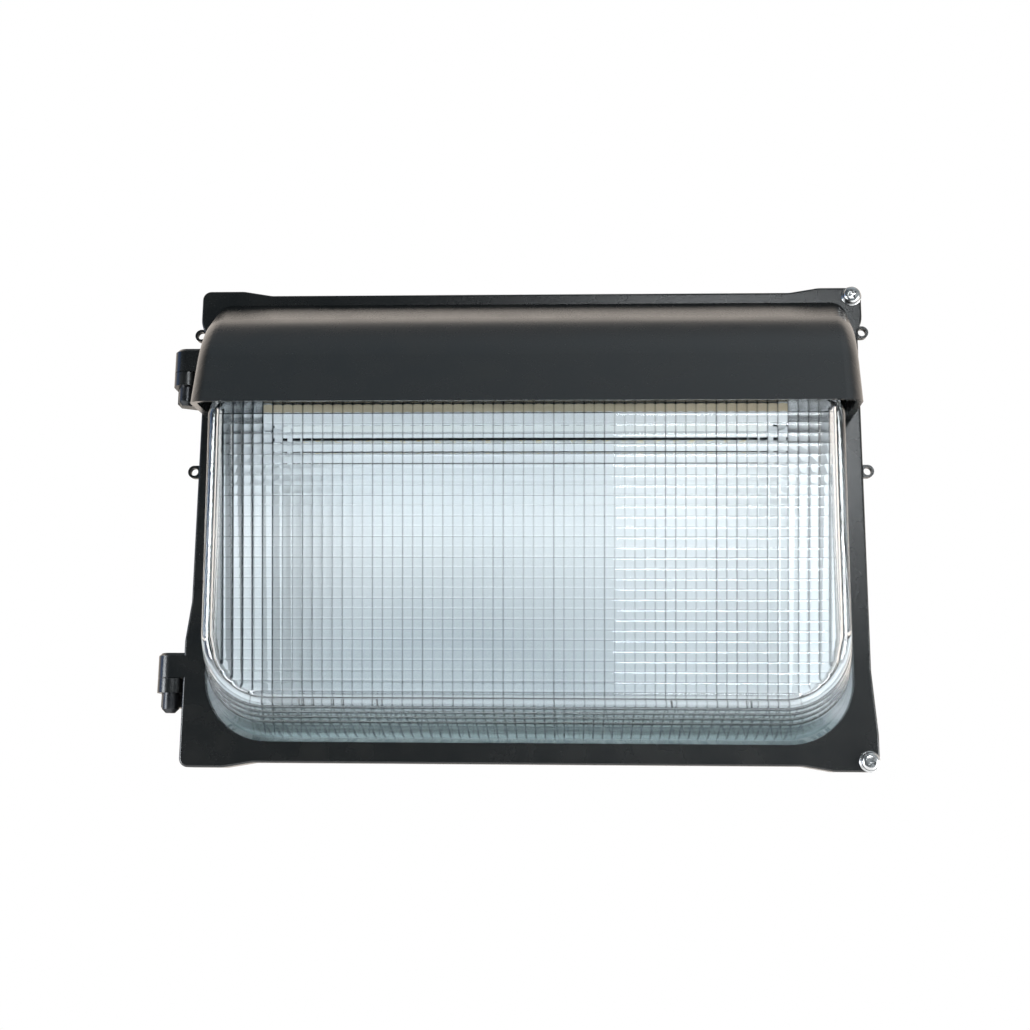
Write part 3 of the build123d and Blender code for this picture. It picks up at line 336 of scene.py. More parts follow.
def black_steel():
    """Blackened steel with an oily sheen and faint turning rings."""
    steel = Finish("blackened steel", Metallic=0.7)
    film = steel.noise(260, 3)
    rings = steel.noise(1500, 2, (0.2, 0.2, 1))
    colour = steel.ramp(film, [(0.3, (0.018, 0.019, 0.021)), (0.8, (0.036, 0.036, 0.038))])
    return steel.set(
        Base_Color=colour, Roughness=steel.span(film, 0.22, 0.38),
        Normal=steel.bump(rings, 0.00001, 0.5),
    ).material


def board_mask():
    """White solder mask: glossy, with faint glass cloth underneath."""
    board = Finish("white solder mask", IOR=1.52)
    cloth = board.cells(1400)
    colour = board.ramp(
        board.noise(40, 3), [(0.3, (0.78, 0.78, 0.74)), (0.75, (0.84, 0.84, 0.81))])
    return board.set(
        Base_Color=colour, Roughness=board.span(cloth, 0.30, 0.42),
        Normal=board.bump(cloth, 0.00001, 0.4),
    ).material


def phosphor():
    """Yellow LED phosphor in silicone."""
    gel = Finish("yellow phosphor gel", IOR=1.45)
    speck = gel.noise(3000, 3)
    colour = gel.ramp(speck, [(0.3, (0.80, 0.56, 0.10)), (0.7, (0.90, 0.68, 0.18))])
    return gel.set(Base_Color=colour, Roughness=gel.span(speck, 0.25, 0.45)).material


def thermal_pad():
    """Grey thermal pad, dry and slightly grainy."""
    pad = Finish("grey thermal pad", IOR=1.45)
    speck = pad.noise(2200, 4)
    colour = pad.ramp(speck, [(0.3, (0.30, 0.31, 0.33)), (0.7, (0.42, 0.43, 0.45))])
    return pad.set(
        Base_Color=colour, Roughness=pad.span(speck, 0.6, 0.85),
        Normal=pad.bump(speck, 0.00002, 0.6),
    ).material


def driver_case():
    """Sand-blasted white plastic driver case."""
    case = Finish("off-white driver plastic", IOR=1.5)
    blast = case.noise(1600, 3)
    colour = case.ramp(case.noise(12, 3), [(0.3, (0.70, 0.70, 0.67)), (0.7, (0.78, 0.78, 0.75))])
    return case.set(
        Base_Color=colour, Roughness=case.span(blast, 0.45, 0.62),
        Normal=case.bump(blast, 0.00003, 0.6),
    ).material


def green_ground():
    """Green-dyed plated steel."""
    screw = Finish("green plated steel", Metallic=0.85)
    cloud = screw.noise(300, 3)
    colour = screw.ramp(cloud, [(0.3, (0.02, 0.22, 0.07)), (0.75, (0.04, 0.34, 0.12))])
    return screw.set(
        Base_Color=colour, Roughness=screw.span(cloud, 0.25, 0.45),
        Normal=screw.bump(screw.noise(1200, 2), 0.00001, 0.5),
    ).material


FINISHES = {
    "bronze_coat": powder_coat(),
    "stainless": stainless(),
    "zinc": zinc(),
    "glass": pressed_glass(),
    "silicone": silicone(),
    "white_enamel": white_enamel(),
    "aluminium": mill_aluminium(),
    "gold_chromate": gold_chromate(),
    "black_steel": black_steel(),
    "board_mask": board_mask(),
    "led_phosphor": phosphor(),
    "pad_grey": thermal_pad(),
    "driver_case": driver_case(),
    "ground_green": green_ground(),
}

NODE_FINISHES = {
    "back_housing": "bronze_coat", "door_frame": "bronze_coat", "conduit_plugs": "zinc",
    "driver_tray": "zinc", "tray_screws": "zinc", "driver": "driver_case",
    "driver_screws": "zinc", "ground_screw": "ground_green", "door_seal": "silicone",
    "hinge_pin_upper": "black_steel", "hinge_pin_lower": "black_steel", "lens_seal": "silicone",
    "reflector": "white_enamel", "lens_clips": "stainless", "clip_screws": "zinc",
    "led_carrier": "aluminium", "carrier_screws": "zinc", "thermal_pad": "pad_grey",
    "led_board": "board_mask", "leds": "led_phosphor", "board_screws": "zinc",
    "captive_washer_upper": "stainless", "captive_washer_lower": "stainless",
    "captive_ring_upper": "stainless", "captive_ring_lower": "stainless",
    "captive_screw_upper": "stainless", "captive_screw_lower": "stainless",
    "lens": "glass",
}
for node, finish_name in NODE_FINISHES.items():
    NODES[node].data.materials.clear()
    NODES[node].data.materials.append(FINISHES[finish_name])


# ---- meshes -----------------------------------------------------------------
MERGE_WITHIN = 2e-6  # metres


def grid_faces(rows, columns, first=0, wrap=False):
    """Quads of a grid of points, row by row; `wrap` joins the last column to the first."""
    corner = np.arange(rows * columns).reshape(rows, columns) + first
    if wrap:
        corner = np.column_stack([corner, corner[:, 0]])
    return np.stack(
        [corner[:-1, :-1], corner[:-1, 1:], corner[1:, 1:], corner[1:, :-1]], -1
    ).reshape(-1, 4)


def make_piece(name, points, faces, slot, body, replaces=(), smooth=True, line=None, finish=None):
    """One named mesh piece from millimetre points and faces, merged and turned outwards.

    It wears its slot's finish, or the one named by `finish`. `line` is a value for each point:
    how dark a line of painted shade is drawn there.
    """
    mesh = bpy.data.meshes.new(name)
    mesh.from_pydata((np.asarray(points, float) / 1000).tolist(), [], [tuple(f) for f in faces])
    if line is not None:
        mesh.attributes.new("line", "FLOAT", "POINT").data.foreach_set("value", line)
    shape = bmesh.new()
    shape.from_mesh(mesh)
    bmesh.ops.remove_doubles(shape, verts=shape.verts, dist=MERGE_WITHIN)
    bmesh.ops.recalc_face_normals(shape, faces=shape.faces)
    shape.to_mesh(mesh)
    shape.free()
    if smooth:
        mesh.shade_smooth()
    mesh.materials.append(FINISHES[finish or slot])
    piece = bpy.data.objects.new(name, mesh)
    bpy.context.scene.collection.objects.link(piece)
    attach(piece, body)
    if replaces:
        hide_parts(*replaces)
    return piece


# ---- prismatic lens ---------------------------------------------------------
BASE_HALF, BASE_LOW, BASE_HIGH, BASE_OUT = 161.5, -111.0, 58.0, -10.0
LOW_R, HIGH_R, EDGE_R = 32.0, 10.0, 6.0
FRONT_LOW_OUT, FRONT_TILT = 46.0, np.radians(10.4)
SIDE_DRAFT, LOW_DRAFT, HIGH_DRAFT = np.radians([9.3, 16.5, 5.0])
WALL, FLANGE_OUT, FLANGE = 4.5, -6.0, 2.8
FRONT_LOW_Z = BASE_LOW + (FRONT_LOW_OUT - BASE_OUT) * np.tan(LOW_DRAFT)
FACE_NORMAL = np.array([0.0, np.cos(FRONT_TILT), -np.sin(FRONT_TILT)])
COLUMN_LINES, ROW_PITCH, ROW_LINES = 61, 4.72, 29
COLUMN_START, ROW_START = -(COLUMN_LINES - 1) / 2 * COLUMN_PITCH, -94.1
RING_PITCH, RING_LOW, RING_HIGH = 6.6, 14.1, 40.5

# How dark each line of painted groove shade is drawn: columns darker to both sides, most at the
# left; rows by turns.
COLUMN_SHADE_STRENGTH = np.clip(
    RANDOM.uniform(0.40, 0.85, COLUMN_LINES)
    + 0.5 * np.abs(np.linspace(-1, 1, COLUMN_LINES)) ** 3, 0, 1)
ROW_SHADE_STRENGTH = RANDOM.uniform(0.8, 1.2, ROW_LINES) * np.where(np.arange(ROW_LINES) % 2, 0.34, 0.62)
RING_SHADE_STRENGTH = RANDOM.uniform(0.9, 1.3, 5)
COLUMN_SHADE_STRENGTH[:7] *= np.linspace(2.6, 1.2, 7)
# Painted shadow: the top row's line is drawn darkest.
ROW_SHADE_STRENGTH[-1] = 2.6

# Ribs as (crown, depth of the groove between, half width of the groove).
COLUMN_RIB, ROW_RIB, RING_RIB = (0.24, 0.14, 0.62), (0.36, 0.12, 0.34), (0.35, 0.25, 0.8)
ROUND_STEPS, RING_STEPS, INNER_ROWS, OUTER_COLUMNS = 7, 73, 16, 61
INNER_DEPTHS = (44, 34, 24, 14, 4, BASE_OUT)
INNER_EDGE, OUTER_EDGE = np.array([[0, 0.02, 0.1, 0.3, 0.8, 1.6], [0, 0.03, 0.12, 0.3, 0.7, 1.4]])
ROUND_SHADE_LINES = {2: 0.5, 5: 0.45}  # painted shade as dark lines along the outer round, by step
# Painted shade along the round of the left edge.
LEFT_EDGE_SHADE = 0.55
LINE_LEAN = 0.12  # of the lower wall's lines, for each mm of depth, beyond the side's draft
FIRST_GUESS, SOLVE_STEPS = 60.0, 30


def outline(s, out, inset):
    """Half outline of the bowl at a depth, with its outward direction in the outline's plane.

    s runs 0..1 along the bottom from the middle, 1..2 round the low corner, 2..3 up the side,
    3..4 round the high corner and 4..5 along the top. The outline is a rounded rectangle whose
    sides lean in by their drafts, moved in by `inset`.
    """
    rise = out - BASE_OUT
    half = BASE_HALF - rise * np.tan(SIDE_DRAFT) - inset / np.cos(SIDE_DRAFT)
    low = BASE_LOW + rise * np.tan(LOW_DRAFT) + inset / np.cos(LOW_DRAFT)
    high = BASE_HIGH - rise * np.tan(HIGH_DRAFT) - inset / np.cos(HIGH_DRAFT)
    low_r, high_r = LOW_R - inset, HIGH_R - inset
    t = np.clip(s[..., None] - np.arange(5), 0, 1)
    steady = half - low_r - LINE_LEAN * rise
    along = steady * t[..., 0] + (half - low_r - steady) * t[..., 0] ** 6
    turn_low, turn_high = t[..., 1] * np.pi / 2, t[..., 3] * np.pi / 2
    side_z = low + low_r + (high - high_r - low - low_r) * t[..., 2]
    top_x = (half - high_r) * (1 - t[..., 4])
    part = np.clip(np.floor(s), 0, 4).astype(int)
    x = np.choose(part, [
        along, half - low_r + low_r * np.sin(turn_low), half + 0 * s,
        half - high_r + high_r * np.cos(turn_high), top_x,
    ])
    z = np.choose(part, [
        low + 0 * s, low + low_r - low_r * np.cos(turn_low), side_z,
        high - high_r + high_r * np.sin(turn_high), high + 0 * s,
    ])
    angle = turn_low + turn_high - np.pi / 2
    draft = np.where(
        angle < 0, LOW_DRAFT + (SIDE_DRAFT - LOW_DRAFT) * (angle + np.pi / 2) * 2 / np.pi,
        SIDE_DRAFT + (HIGH_DRAFT - SIDE_DRAFT) * angle * 2 / np.pi)
    return x, z, np.cos(angle), np.sin(angle), draft


def face_out(z, inset):
    """Depth of the tilted front face at a height."""
    return FRONT_LOW_OUT + (z - FRONT_LOW_Z) * np.tan(FRONT_TILT) - inset / np.cos(FRONT_TILT)


def wall_level(s, out, inset):
    """Points and outward normals of the walls at a depth."""
    x, z, nx, nz, draft = outline(s, out, inset)
    normal = np.stack([nx * np.cos(draft), np.sin(draft), nz * np.cos(draft)], -1)
    return np.stack([x, out, z], -1), normal


def edge_frame(s, inset):
    """Sharp edge between wall and front face, and the unit normals of both, as (x, out, z).

    The depth where the wall meets the tilted face is found by going back and forth.
    """
    out = np.full(s.shape, FIRST_GUESS)
    for _ in range(SOLVE_STEPS):
        _, z, _, _, _ = outline(s, out, inset)
        out = face_out(z, inset)
    edge, wall = wall_level(s, out, inset)
    return edge, wall, np.broadcast_to(FACE_NORMAL, wall.shape)


def edge_round(s, inset, radius, turn):
    """Point and normal on the rolling-ball round between front face (turn 0) and wall (turn 1)."""
    edge, wall, front = edge_frame(s, inset)
    centre = edge - radius * (front + wall) / (1 + (front * wall).sum(-1, keepdims=True))
    spread = np.arccos((front * wall).sum(-1, keepdims=True))
    turn = np.asarray(turn)[..., None]
    normal = (np.sin((1 - turn) * spread) * front + np.sin(turn * spread) * wall) / np.sin(spread)
    return centre + radius * normal, normal


def mirrored_loop(s_right):
    """Loop parameters all round: the right half upwards, then the left half downwards."""
    side = np.concatenate([np.ones(len(s_right)), -np.ones(len(s_right) - 2)])
    return np.concatenate([s_right, s_right[-2:0:-1]]), side


def groove_samples(lines, pitch, start, fine, crown):
    """Sample places along ribs: close together at each line, a few over each crown."""
    ticks = start + pitch * np.arange(lines)
    near = (ticks[:, None] + np.array(fine)).ravel()
    over = (ticks[:-1, None] + pitch * np.array(crown)).ravel()
    return np.sort(np.concatenate([near, over]))


def rib_height(at, start, pitch, strength, rib):
    """Height of a row of ribs, and how dark its line of painted shade is at each point.

    crown * (1 - (2t)^2) - groove * max(0, 1 - d / width), where t runs -1/2..1/2 over a rib
    and d is the distance to the nearest line. `strength` holds each line's own share.
    """
    crown, groove, width = rib
    along, lines = (at - start) / pitch, len(strength)
    nearest = np.clip(np.rint(along), 0, lines - 1).astype(int)
    d = np.abs(along - nearest) * pitch
    t = np.clip(along - np.floor(along), 0, 1) - 0.5
    inside = (along > 0) & (along < lines - 1)
    hump = crown * (1 - (2 * t) ** 2) * inside
    near = np.maximum(0, 1 - d / width)
    return hump - groove * near, strength[nearest] * near


def zipper(one, other, one_first, other_first):
    """Triangles between two closed loops of points, advancing round both by angle."""
    middle_z = -30

    def by_angle(loop):
        angle = np.arctan2(loop[:, 2] - middle_z, loop[:, 0]) / (2 * np.pi) % 1
        order = np.argsort(angle)
        return angle[order], order

    a, a_order = by_angle(one)
    b, b_order = by_angle(other)
    n, m = len(a), len(b)
    a_next = np.append(a[1:], a[0] + 1)
    b_next = np.append(b[1:], b[0] + 1)
    j = (np.searchsorted(b, a_next, "left") - 1) % m
    i = (np.searchsorted(a, b_next, "right") - 1) % n
    i[-1] = n - 1 if b_next[-1] <= a_next[-1] else 0
    j[-1] = m - 1 if a_next[-1] < b_next[-1] else 0
    a_after, b_after = a_order[(np.arange(n) + 1) % n], b_order[(np.arange(m) + 1) % m]
    return np.vstack([
        np.column_stack([one_first + a_order, one_first + a_after, other_first + b_order[j]]),
        np.column_stack([other_first + b_order, other_first + b_after, one_first + a_order[i]]),
    ])


def lens_skin(inset, radius, columns):
    """Sample places of one skin of the bowl: its face as a grid, and the half loop round it.

    The outer skin (columns False) has level rows on the face. The inner skin (columns True)
    has upright ribs, and its loop follows them along the bottom and the top.
    """
    dense = np.linspace(0, 5, 8001)
    rim, _ = edge_round(dense, inset, radius, 0 * dense)
    corner = rim[np.searchsorted(dense, 1.0)]
    low_z, high_z = rim[0, 2], rim[-1, 2]
    if columns:
        side_x = rim[np.searchsorted(dense, 2.5), 0]
        ribs = groove_samples(
            COLUMN_LINES, COLUMN_PITCH, COLUMN_START, (-0.62, -0.3, 0, 0.3, 0.62), (0.3, 0.5, 0.7))
        edge = side_x - INNER_EDGE
        x = np.unique(np.concatenate([ribs, edge, -edge, [-corner[0], corner[0]]]))
        low_s = np.interp(np.abs(x), rim[dense <= 2, 0], dense[dense <= 2])
        top = dense >= 3
        high_s = np.interp(np.abs(x), rim[top, 0][::-1], dense[top][::-1])
        v = np.linspace(0, 1, INNER_ROWS)
        z_low = np.interp(low_s, dense, rim[:, 2])
        z_high = np.interp(high_s, dense, rim[:, 2])
        grid_x = np.broadcast_to(x, (len(v), len(x)))
        grid_z = z_low + (z_high - z_low) * v[:, None]
        side_low, side_high = rim[np.searchsorted(dense, [2.0, 3.0]), 2]
        side = 2 + (grid_z[1:-1, -1] - side_low) / (side_high - side_low)
        right = x >= 0
        s_right = np.concatenate([low_s[right], side, high_s[right][::-1]])
        if not np.isclose(x[right][0], 0):  # an even number of lines has none in the middle
            s_right = np.concatenate([[0], s_right, [5]])
    else:
        rows = groove_samples(
            ROW_LINES, ROW_PITCH, ROW_START, (-0.34, 0, 0.34), (0.25, 0.5, 0.75))
        rows = rows[(rows > low_z) & (rows < high_z)]
        z = np.unique(np.concatenate([low_z + OUTER_EDGE, high_z - OUTER_EDGE, rows]))
        middle = (dense >= 1) & (dense <= 4)
        side = np.interp(z, rim[middle, 2], dense[middle])
        reach = np.interp(side, dense, rim[:, 0])
        u = np.linspace(-1, 1, OUTER_COLUMNS)
        grid_x = reach[:, None] * u
        grid_z = np.broadcast_to(z[:, None], grid_x.shape)
        low_s = np.interp(u[u >= 0] * reach[0], rim[dense <= 1, 0], dense[dense <= 1])
        high_s = 5 - u[u >= 0]
        s_right = np.concatenate([low_s, side[1:-1], high_s[::-1]])
    return grid_x, grid_z, s_right


def column_ribs(x):
    """Upright ribs of the inner face: they stand inwards, so their height is negative."""
    height, line = rib_height(x, COLUMN_START, COLUMN_PITCH, COLUMN_SHADE_STRENGTH, COLUMN_RIB)
    return np.stack([-height, line])


def row_ribs(x, z):
    """Level ribs of the outer face, faded out before its side edges."""
    fade = np.clip((BASE_HALF - 15 - np.abs(x)) / 4 - 0.6, 0, 1)
    return np.stack(rib_height(z, ROW_START, ROW_PITCH, ROW_SHADE_STRENGTH, ROW_RIB)) * fade


def round_and_walls(loop_s, inset, radius, depths):
    """Levels of points and normals from the face's edge round to the wall and along it.

    Where the round reaches further back than a level, that level keeps a little behind it.
    """
    levels = [
        edge_round(loop_s, inset, radius, np.full(loop_s.shape, turn))
        for turn in np.linspace(0, 1, ROUND_STEPS)]
    last = levels[-1][0]
    for out in depths:
        behind_round = last[:, 1] - 0.4 * (RING_HIGH + 1 - out) / RING_HIGH
        levels.append(wall_level(loop_s, np.minimum(behind_round, out), inset))
    return levels


def build_lens():
    """Glass bowl: outer skin, flange, inner skin.

    The outer skin has level ribs on the face and rings round the walls. The inner skin has
    upright ribs on the face, whose lines of painted shade run on over both long walls.
    """
    parts, faces, lines, count = [], [], [], 0

    def put(points, new_faces, line):
        nonlocal count
        parts.append(points.reshape(-1, 3))
        faces.append(new_faces)
        lines.append(line.ravel())
        count += parts[-1].shape[0]

    outer_depths = np.concatenate([np.linspace(RING_HIGH, RING_LOW, RING_STEPS), [1, FLANGE_OUT]])
    loops = {}
    for columns, inset, radius in ((False, 0.0, EDGE_R), (True, WALL, EDGE_R - WALL / 2)):
        grid_x, grid_z, s_right = lens_skin(inset, radius, columns)
        points = np.stack([grid_x, face_out(grid_z, inset), grid_z], -1)
        loop_s, side = mirrored_loop(s_right)
        if columns:
            lift, line = column_ribs(grid_x)
        else:
            lift, line = row_ribs(grid_x, grid_z)
        put(points + lift[..., None] * FACE_NORMAL,
            grid_faces(*points.shape[:2], first=count), line)

        depths = np.array(INNER_DEPTHS) if columns else outer_depths
        levels = round_and_walls(loop_s, inset, radius, depths)
        if not columns:
            last, first_wall = levels[ROUND_STEPS - 1][0][:, 1], levels[ROUND_STEPS][0][:, 1]
            between = [
                wall_level(loop_s, last + (first_wall - last) * share, inset)
                for share in (0.33, 0.66)]
            levels[ROUND_STEPS:ROUND_STEPS] = between
        at = np.stack([level[0] for level in levels])
        normal = np.stack([level[1] for level in levels])
        if columns:
            nominal = np.broadcast_to(at[0, :, 0], at.shape[:2]) * side
            off_side = (loop_s < 2) | (loop_s > 3)
            long_wall = np.clip(1.3 - 3 * np.abs(normal[..., 0]), 0, 1) * off_side
            long_wall[0], long_wall[-1] = 1, 0
            lift, line = column_ribs(nominal) * long_wall
            lift[1:] = 0  # past the face the ribs go on as lines of painted shade only
            on_round = slice(1, ROUND_STEPS - 1)
            # Painted shade on the round of the left edge.
            left = np.clip(-2 * side * normal[on_round, :, 0] - 0.8, 0, 1)
            line[on_round] = np.maximum(line[on_round], LEFT_EDGE_SHADE * left)
        else:
            lift, line = rib_height(at[..., 1], RING_LOW, RING_PITCH, RING_SHADE_STRENGTH, RING_RIB)
            lift[:4], line[:4] = 0, 0  # no rings on the face's half of the round
            lift[-1], line[-1] = 0, 0
            lift[0], line[0] = row_ribs(at[0, :, 0], at[0, :, 2])
            # Painted shade: dark lines along the outer round.
            for step, share in ROUND_SHADE_LINES.items():
                line[step] = share
        ring = at + lift[..., None] * normal
        ring[..., 0] *= side
        put(ring, grid_faces(*ring.shape[:2], first=count, wrap=True), line)
        loops[columns] = (ring[-1], count - ring.shape[1], loop_s, side)

    base, _, loop_s, side = loops[False]
    x, z, nx, nz, _ = outline(loop_s, np.full(loop_s.shape, BASE_OUT), 0)
    rim_x, rim_z = (x + FLANGE * nx) * side, z + FLANGE * nz
    flange = np.stack([
        base,
        np.stack([rim_x, 0 * rim_x + FLANGE_OUT, rim_z], -1),
        np.stack([rim_x, 0 * rim_x + BASE_OUT, rim_z], -1),
    ])
    put(flange, grid_faces(3, len(base), first=count, wrap=True), np.zeros(3 * len(base)))
    inner, inner_first, _, _ = loops[True]
    faces.append(zipper(flange[-1], inner, count - len(base), inner_first))
    points = np.vstack(parts)
    placed = np.column_stack([points[:, 0], PLATE_FRONT - points[:, 1], points[:, 2]])
    every = [tuple(face) for block in faces for face in block]
    make_piece("lens_prismatic", placed, every, "glass", "door", ["lens"],
               line=np.concatenate(lines))


build_lens()


# ---- door screws ------------------------------------------------------------
HEAD_R, HEAD_H, SHANK_R, SHANK_L = 4.5, 3.2, 2.5, 23.3
THREAD_L, THREAD_PITCH, THREAD_DEPTH, TIP_L, TIP_R = 8.4, 0.8, 0.35, 0.6, 1.7
RECESS_DEPTH = 1.9
ARM_L, ARM_HALF = 2.35, 0.68  # the cross recess, over its upper edge
ARM_END_SLOPE, ARM_SIDE_SLOPE = 0.5, 0.18
HEAD_RIM = 0.35  # share of the head's height that is its upright rim
HEAD_STATIONS = np.array([
    0, 0.25, 0.5, 0.68, 0.95, 1.35, 1.8, 2.1, 2.35, 2.7, 3.0, 3.3, 3.6, 3.9, 4.15, 4.35, 4.5])
SCREW_X, SCREW_SEAT = 167.8, -105.3
SCREWS = {"upper": (119.2, 0.42), "lower": (-119.2, 1.1)}  # height and turn of the cross
SHARP_OVER = np.radians(35)


def screw_piece(name, kind, form, points, faces, seat, z):
    """Makes a piece of a door screw from (across, up, out) points about its axis."""
    placed = np.column_stack([SCREW_X + points[:, 0], seat - points[:, 2], z + points[:, 1]])
    piece = make_piece(f"door_{kind}_{name}_{form}", placed, faces, "stainless",
                       f"door_screw_{name}", [f"captive_{kind}_{name}"])
    piece.data.set_sharp_from_angle(angle=SHARP_OVER)


def screw_head(turn):
    """Pan head with a cross recess, as a square net of (across, up, out) points.

    Net point (u, v) with m = max(|u|, |v|) is eased from itself at m < 0.6 to m (u, v) / |(u, v)|
    at m = 1. Its height is H (0.35 + 0.65 sqrt(1 - r^4)), less a plus sign with sloping walls.
    """
    net = np.concatenate([-HEAD_STATIONS[:0:-1], HEAD_STATIONS]) / HEAD_R
    u, v = np.meshgrid(net, net)
    m, r = np.maximum(np.abs(u), np.abs(v)), np.hypot(u, v) + 1e-9
    ease = np.clip((m - 0.6) / 0.4, 0, 1)
    ease = ease * ease * (3 - 2 * ease)
    x, y = HEAD_R * u * (1 - ease + ease * m / r), HEAD_R * v * (1 - ease + ease * m / r)
    rho = np.clip(np.hypot(x, y) / HEAD_R, 0, 1)

    def arm(a, b):
        return (np.clip((ARM_L - np.abs(a)) / ARM_END_SLOPE, 0, 1)
                * np.clip((ARM_HALF - np.abs(b)) / ARM_SIDE_SLOPE, 0, 1))

    crown = HEAD_H * (HEAD_RIM + (1 - HEAD_RIM) * np.sqrt(1 - rho ** 4))
    out = crown - RECESS_DEPTH * np.maximum(arm(x, y), arm(y, x)) * (1 - 0.2 * rho)
    c, s = np.cos(turn), np.sin(turn)
    return np.stack([c * x - s * y, s * x + c * y, out], -1)


def build_screw(name, z, turn):
    """Captive door screw: the head, then rings down the shank with a helical thread.

    Thread radius = R - depth * |2 frac(along / pitch - angle / 2 pi) - 1|.
    """
    head = screw_head(turn)
    rim = np.concatenate([head[0, :-1], head[:-1, -1], head[-1, :0:-1], head[:0:-1, 0]])
    thread = np.linspace(SHANK_L - THREAD_L, SHANK_L - TIP_L, 60)
    along = np.concatenate([[0, 0.01], thread, [SHANK_L, SHANK_L]])
    angle = np.arctan2(rim[:, 1], rim[:, 0])
    saw = np.abs(2 * ((along[:, None] / THREAD_PITCH - angle / (2 * np.pi)) % 1) - 1)
    radius = SHANK_R - THREAD_DEPTH * saw * (along > SHANK_L - THREAD_L)[:, None]
    radius[0], radius[-2], radius[-1] = HEAD_R, TIP_R, 0
    rings = np.stack(
        [radius * np.cos(angle), radius * np.sin(angle), -along[:, None] + 0 * radius], -1)
    rings = np.concatenate([rim[None], rings])
    n = len(head)
    points = np.vstack([head.reshape(-1, 3), rings.reshape(-1, 3)])
    faces = np.vstack([grid_faces(n, n), grid_faces(*rings.shape[:2], first=n * n, wrap=True)])
    screw_piece(name, "screw", "recessed", points, faces, SCREW_SEAT, z)


def turned(profile, turns=96):
    """Closed profile of (radius, out) points carried round an axis."""
    profile = np.array(profile + profile[:1], float)
    angle = np.linspace(0, 2 * np.pi, turns, endpoint=False)
    across = profile[:, :1] * np.cos(angle)
    up = profile[:, :1] * np.sin(angle)
    return np.stack([across, up, profile[:, 1:] + 0 * across], -1)


def build_washer(name, z):
    """Flanged washer: a flat under the head and a rim that falls away to a thin edge."""
    points = turned([
        (2.56, 0), (2.56, 0.9), (2.7, 1.0), (4.45, 1.0), (4.62, 0.8), (4.95, 0.72), (5.15, 0.5),
        (5.2, 0.3), (5.2, 0)])
    faces = grid_faces(*points.shape[:2], wrap=True)
    screw_piece(name, "washer", "flanged", points.reshape(-1, 3), faces, PLATE_FRONT, z)


for which, (height, turn) in SCREWS.items():
    build_screw(which, height, turn)
    build_washer(which, height)


# ---- light engine -----------------------------------------------------------
SLOPE = np.radians(11.0)
LED_AT, LED_PITCH, LED_ROW_PITCH = (-131.33, 40.05), 12.4, 17.0
LED_COLUMNS, LED_SIDES = 18, 16


def on_board(points):
    """(across, along the slope, off the board) to the frame, once for each LED place."""
    column = (np.arange(LED_COLUMNS) - (LED_COLUMNS - 1) / 2) * LED_PITCH
    row = np.array([-0.5, 0.5]) * LED_ROW_PITCH
    place = np.stack(np.meshgrid(column, row), -1).reshape(-1, 1, 2)
    across = points[:, 0] + place[..., 0]
    along = points[:, 1] + place[..., 1]
    off = points[:, 2] + 0 * along
    y = LED_AT[0] - along * np.cos(SLOPE) + off * np.sin(SLOPE)
    z = LED_AT[1] - along * np.sin(SLOPE) - off * np.cos(SLOPE)
    return np.stack([across, y, z], -1).reshape(-1, 3)


def build_leds():
    """White packages with a round cup, and a low phosphor dome in each cup.

    A package is rings of points from its square foot over its top to the cup floor. A square
    ring is (cos, sin) / max(|cos|, |sin|).
    """
    angle = (np.arange(LED_SIDES) + 0.5) * 2 * np.pi / LED_SIDES
    circle = np.stack([np.cos(angle), np.sin(angle)], -1)
    square = circle / np.abs(circle).max(-1, keepdims=True)

    def rings(levels):
        shape = np.stack([
            np.column_stack([size * form, np.full(LED_SIDES, off)]) for form, size, off in levels])
        faces = grid_faces(len(levels), LED_SIDES, wrap=True)
        first = LED_SIDES * len(levels) * np.arange(2 * LED_COLUMNS)
        every = (faces + first[:, None, None]).reshape(-1, 4)
        return on_board(shape.reshape(-1, 3)), every

    body, body_faces = rings([
        (square, 0, 0), (square, 2.5, 0), (square, 2.5, 0.85), (square, 2.4, 1.0),
        (circle, 2.15, 1.0), (circle, 1.95, 0.7), (circle, 0, 0.7)])
    make_piece("led_packages", body, body_faces, "white_enamel", "door", ["leds"], smooth=False)
    dome, dome_faces = rings([
        (circle, 0, 0.72), (circle, 1.98, 0.74), (circle, 2.0, 0.95), (circle, 1.3, 1.12),
        (circle, 0, 1.18)])
    make_piece("led_phosphor_domes", dome, dome_faces, "led_phosphor", "door")


def build_strip(name, profile, slot, finish=None):
    """Strip along the carrier's front edge: a profile of (out, z) carried along X.

    Its ends are drawn in a little.
    """
    profile = np.array(profile)
    count = len(profile)
    x = np.array([-124.5, -124.0, 124.0, 124.5])
    shrink = np.array([0.9, 1, 1, 0.9])[:, None, None]
    ring = profile.mean(0) + (profile - profile.mean(0)) * shrink
    out, z = ring[..., 0], ring[..., 1]
    points = np.stack([x[:, None] + 0 * out, PLATE_FRONT - out, z], -1)
    faces = [tuple(face) for face in grid_faces(4, count, wrap=True)]
    faces += [tuple(range(count)), tuple(range(3 * count, 4 * count))]
    make_piece(name, points.reshape(-1, 3), faces, slot, "door", smooth=False, finish=finish)


build_leds()
build_strip("carrier_front_riser", [
    (48.8, 39.2), (50.0, 39.0), (56.1, 42.7), (56.2, 43.4), (55.0, 43.6), (48.8, 40.6),
], "white_enamel")
build_strip("carrier_front_fold", [
    (55.0, 43.5), (56.2, 43.3), (56.2, 46.8), (55.95, 47.1), (55.25, 47.1), (55.0, 46.8),
], "aluminium", "gold_chromate")


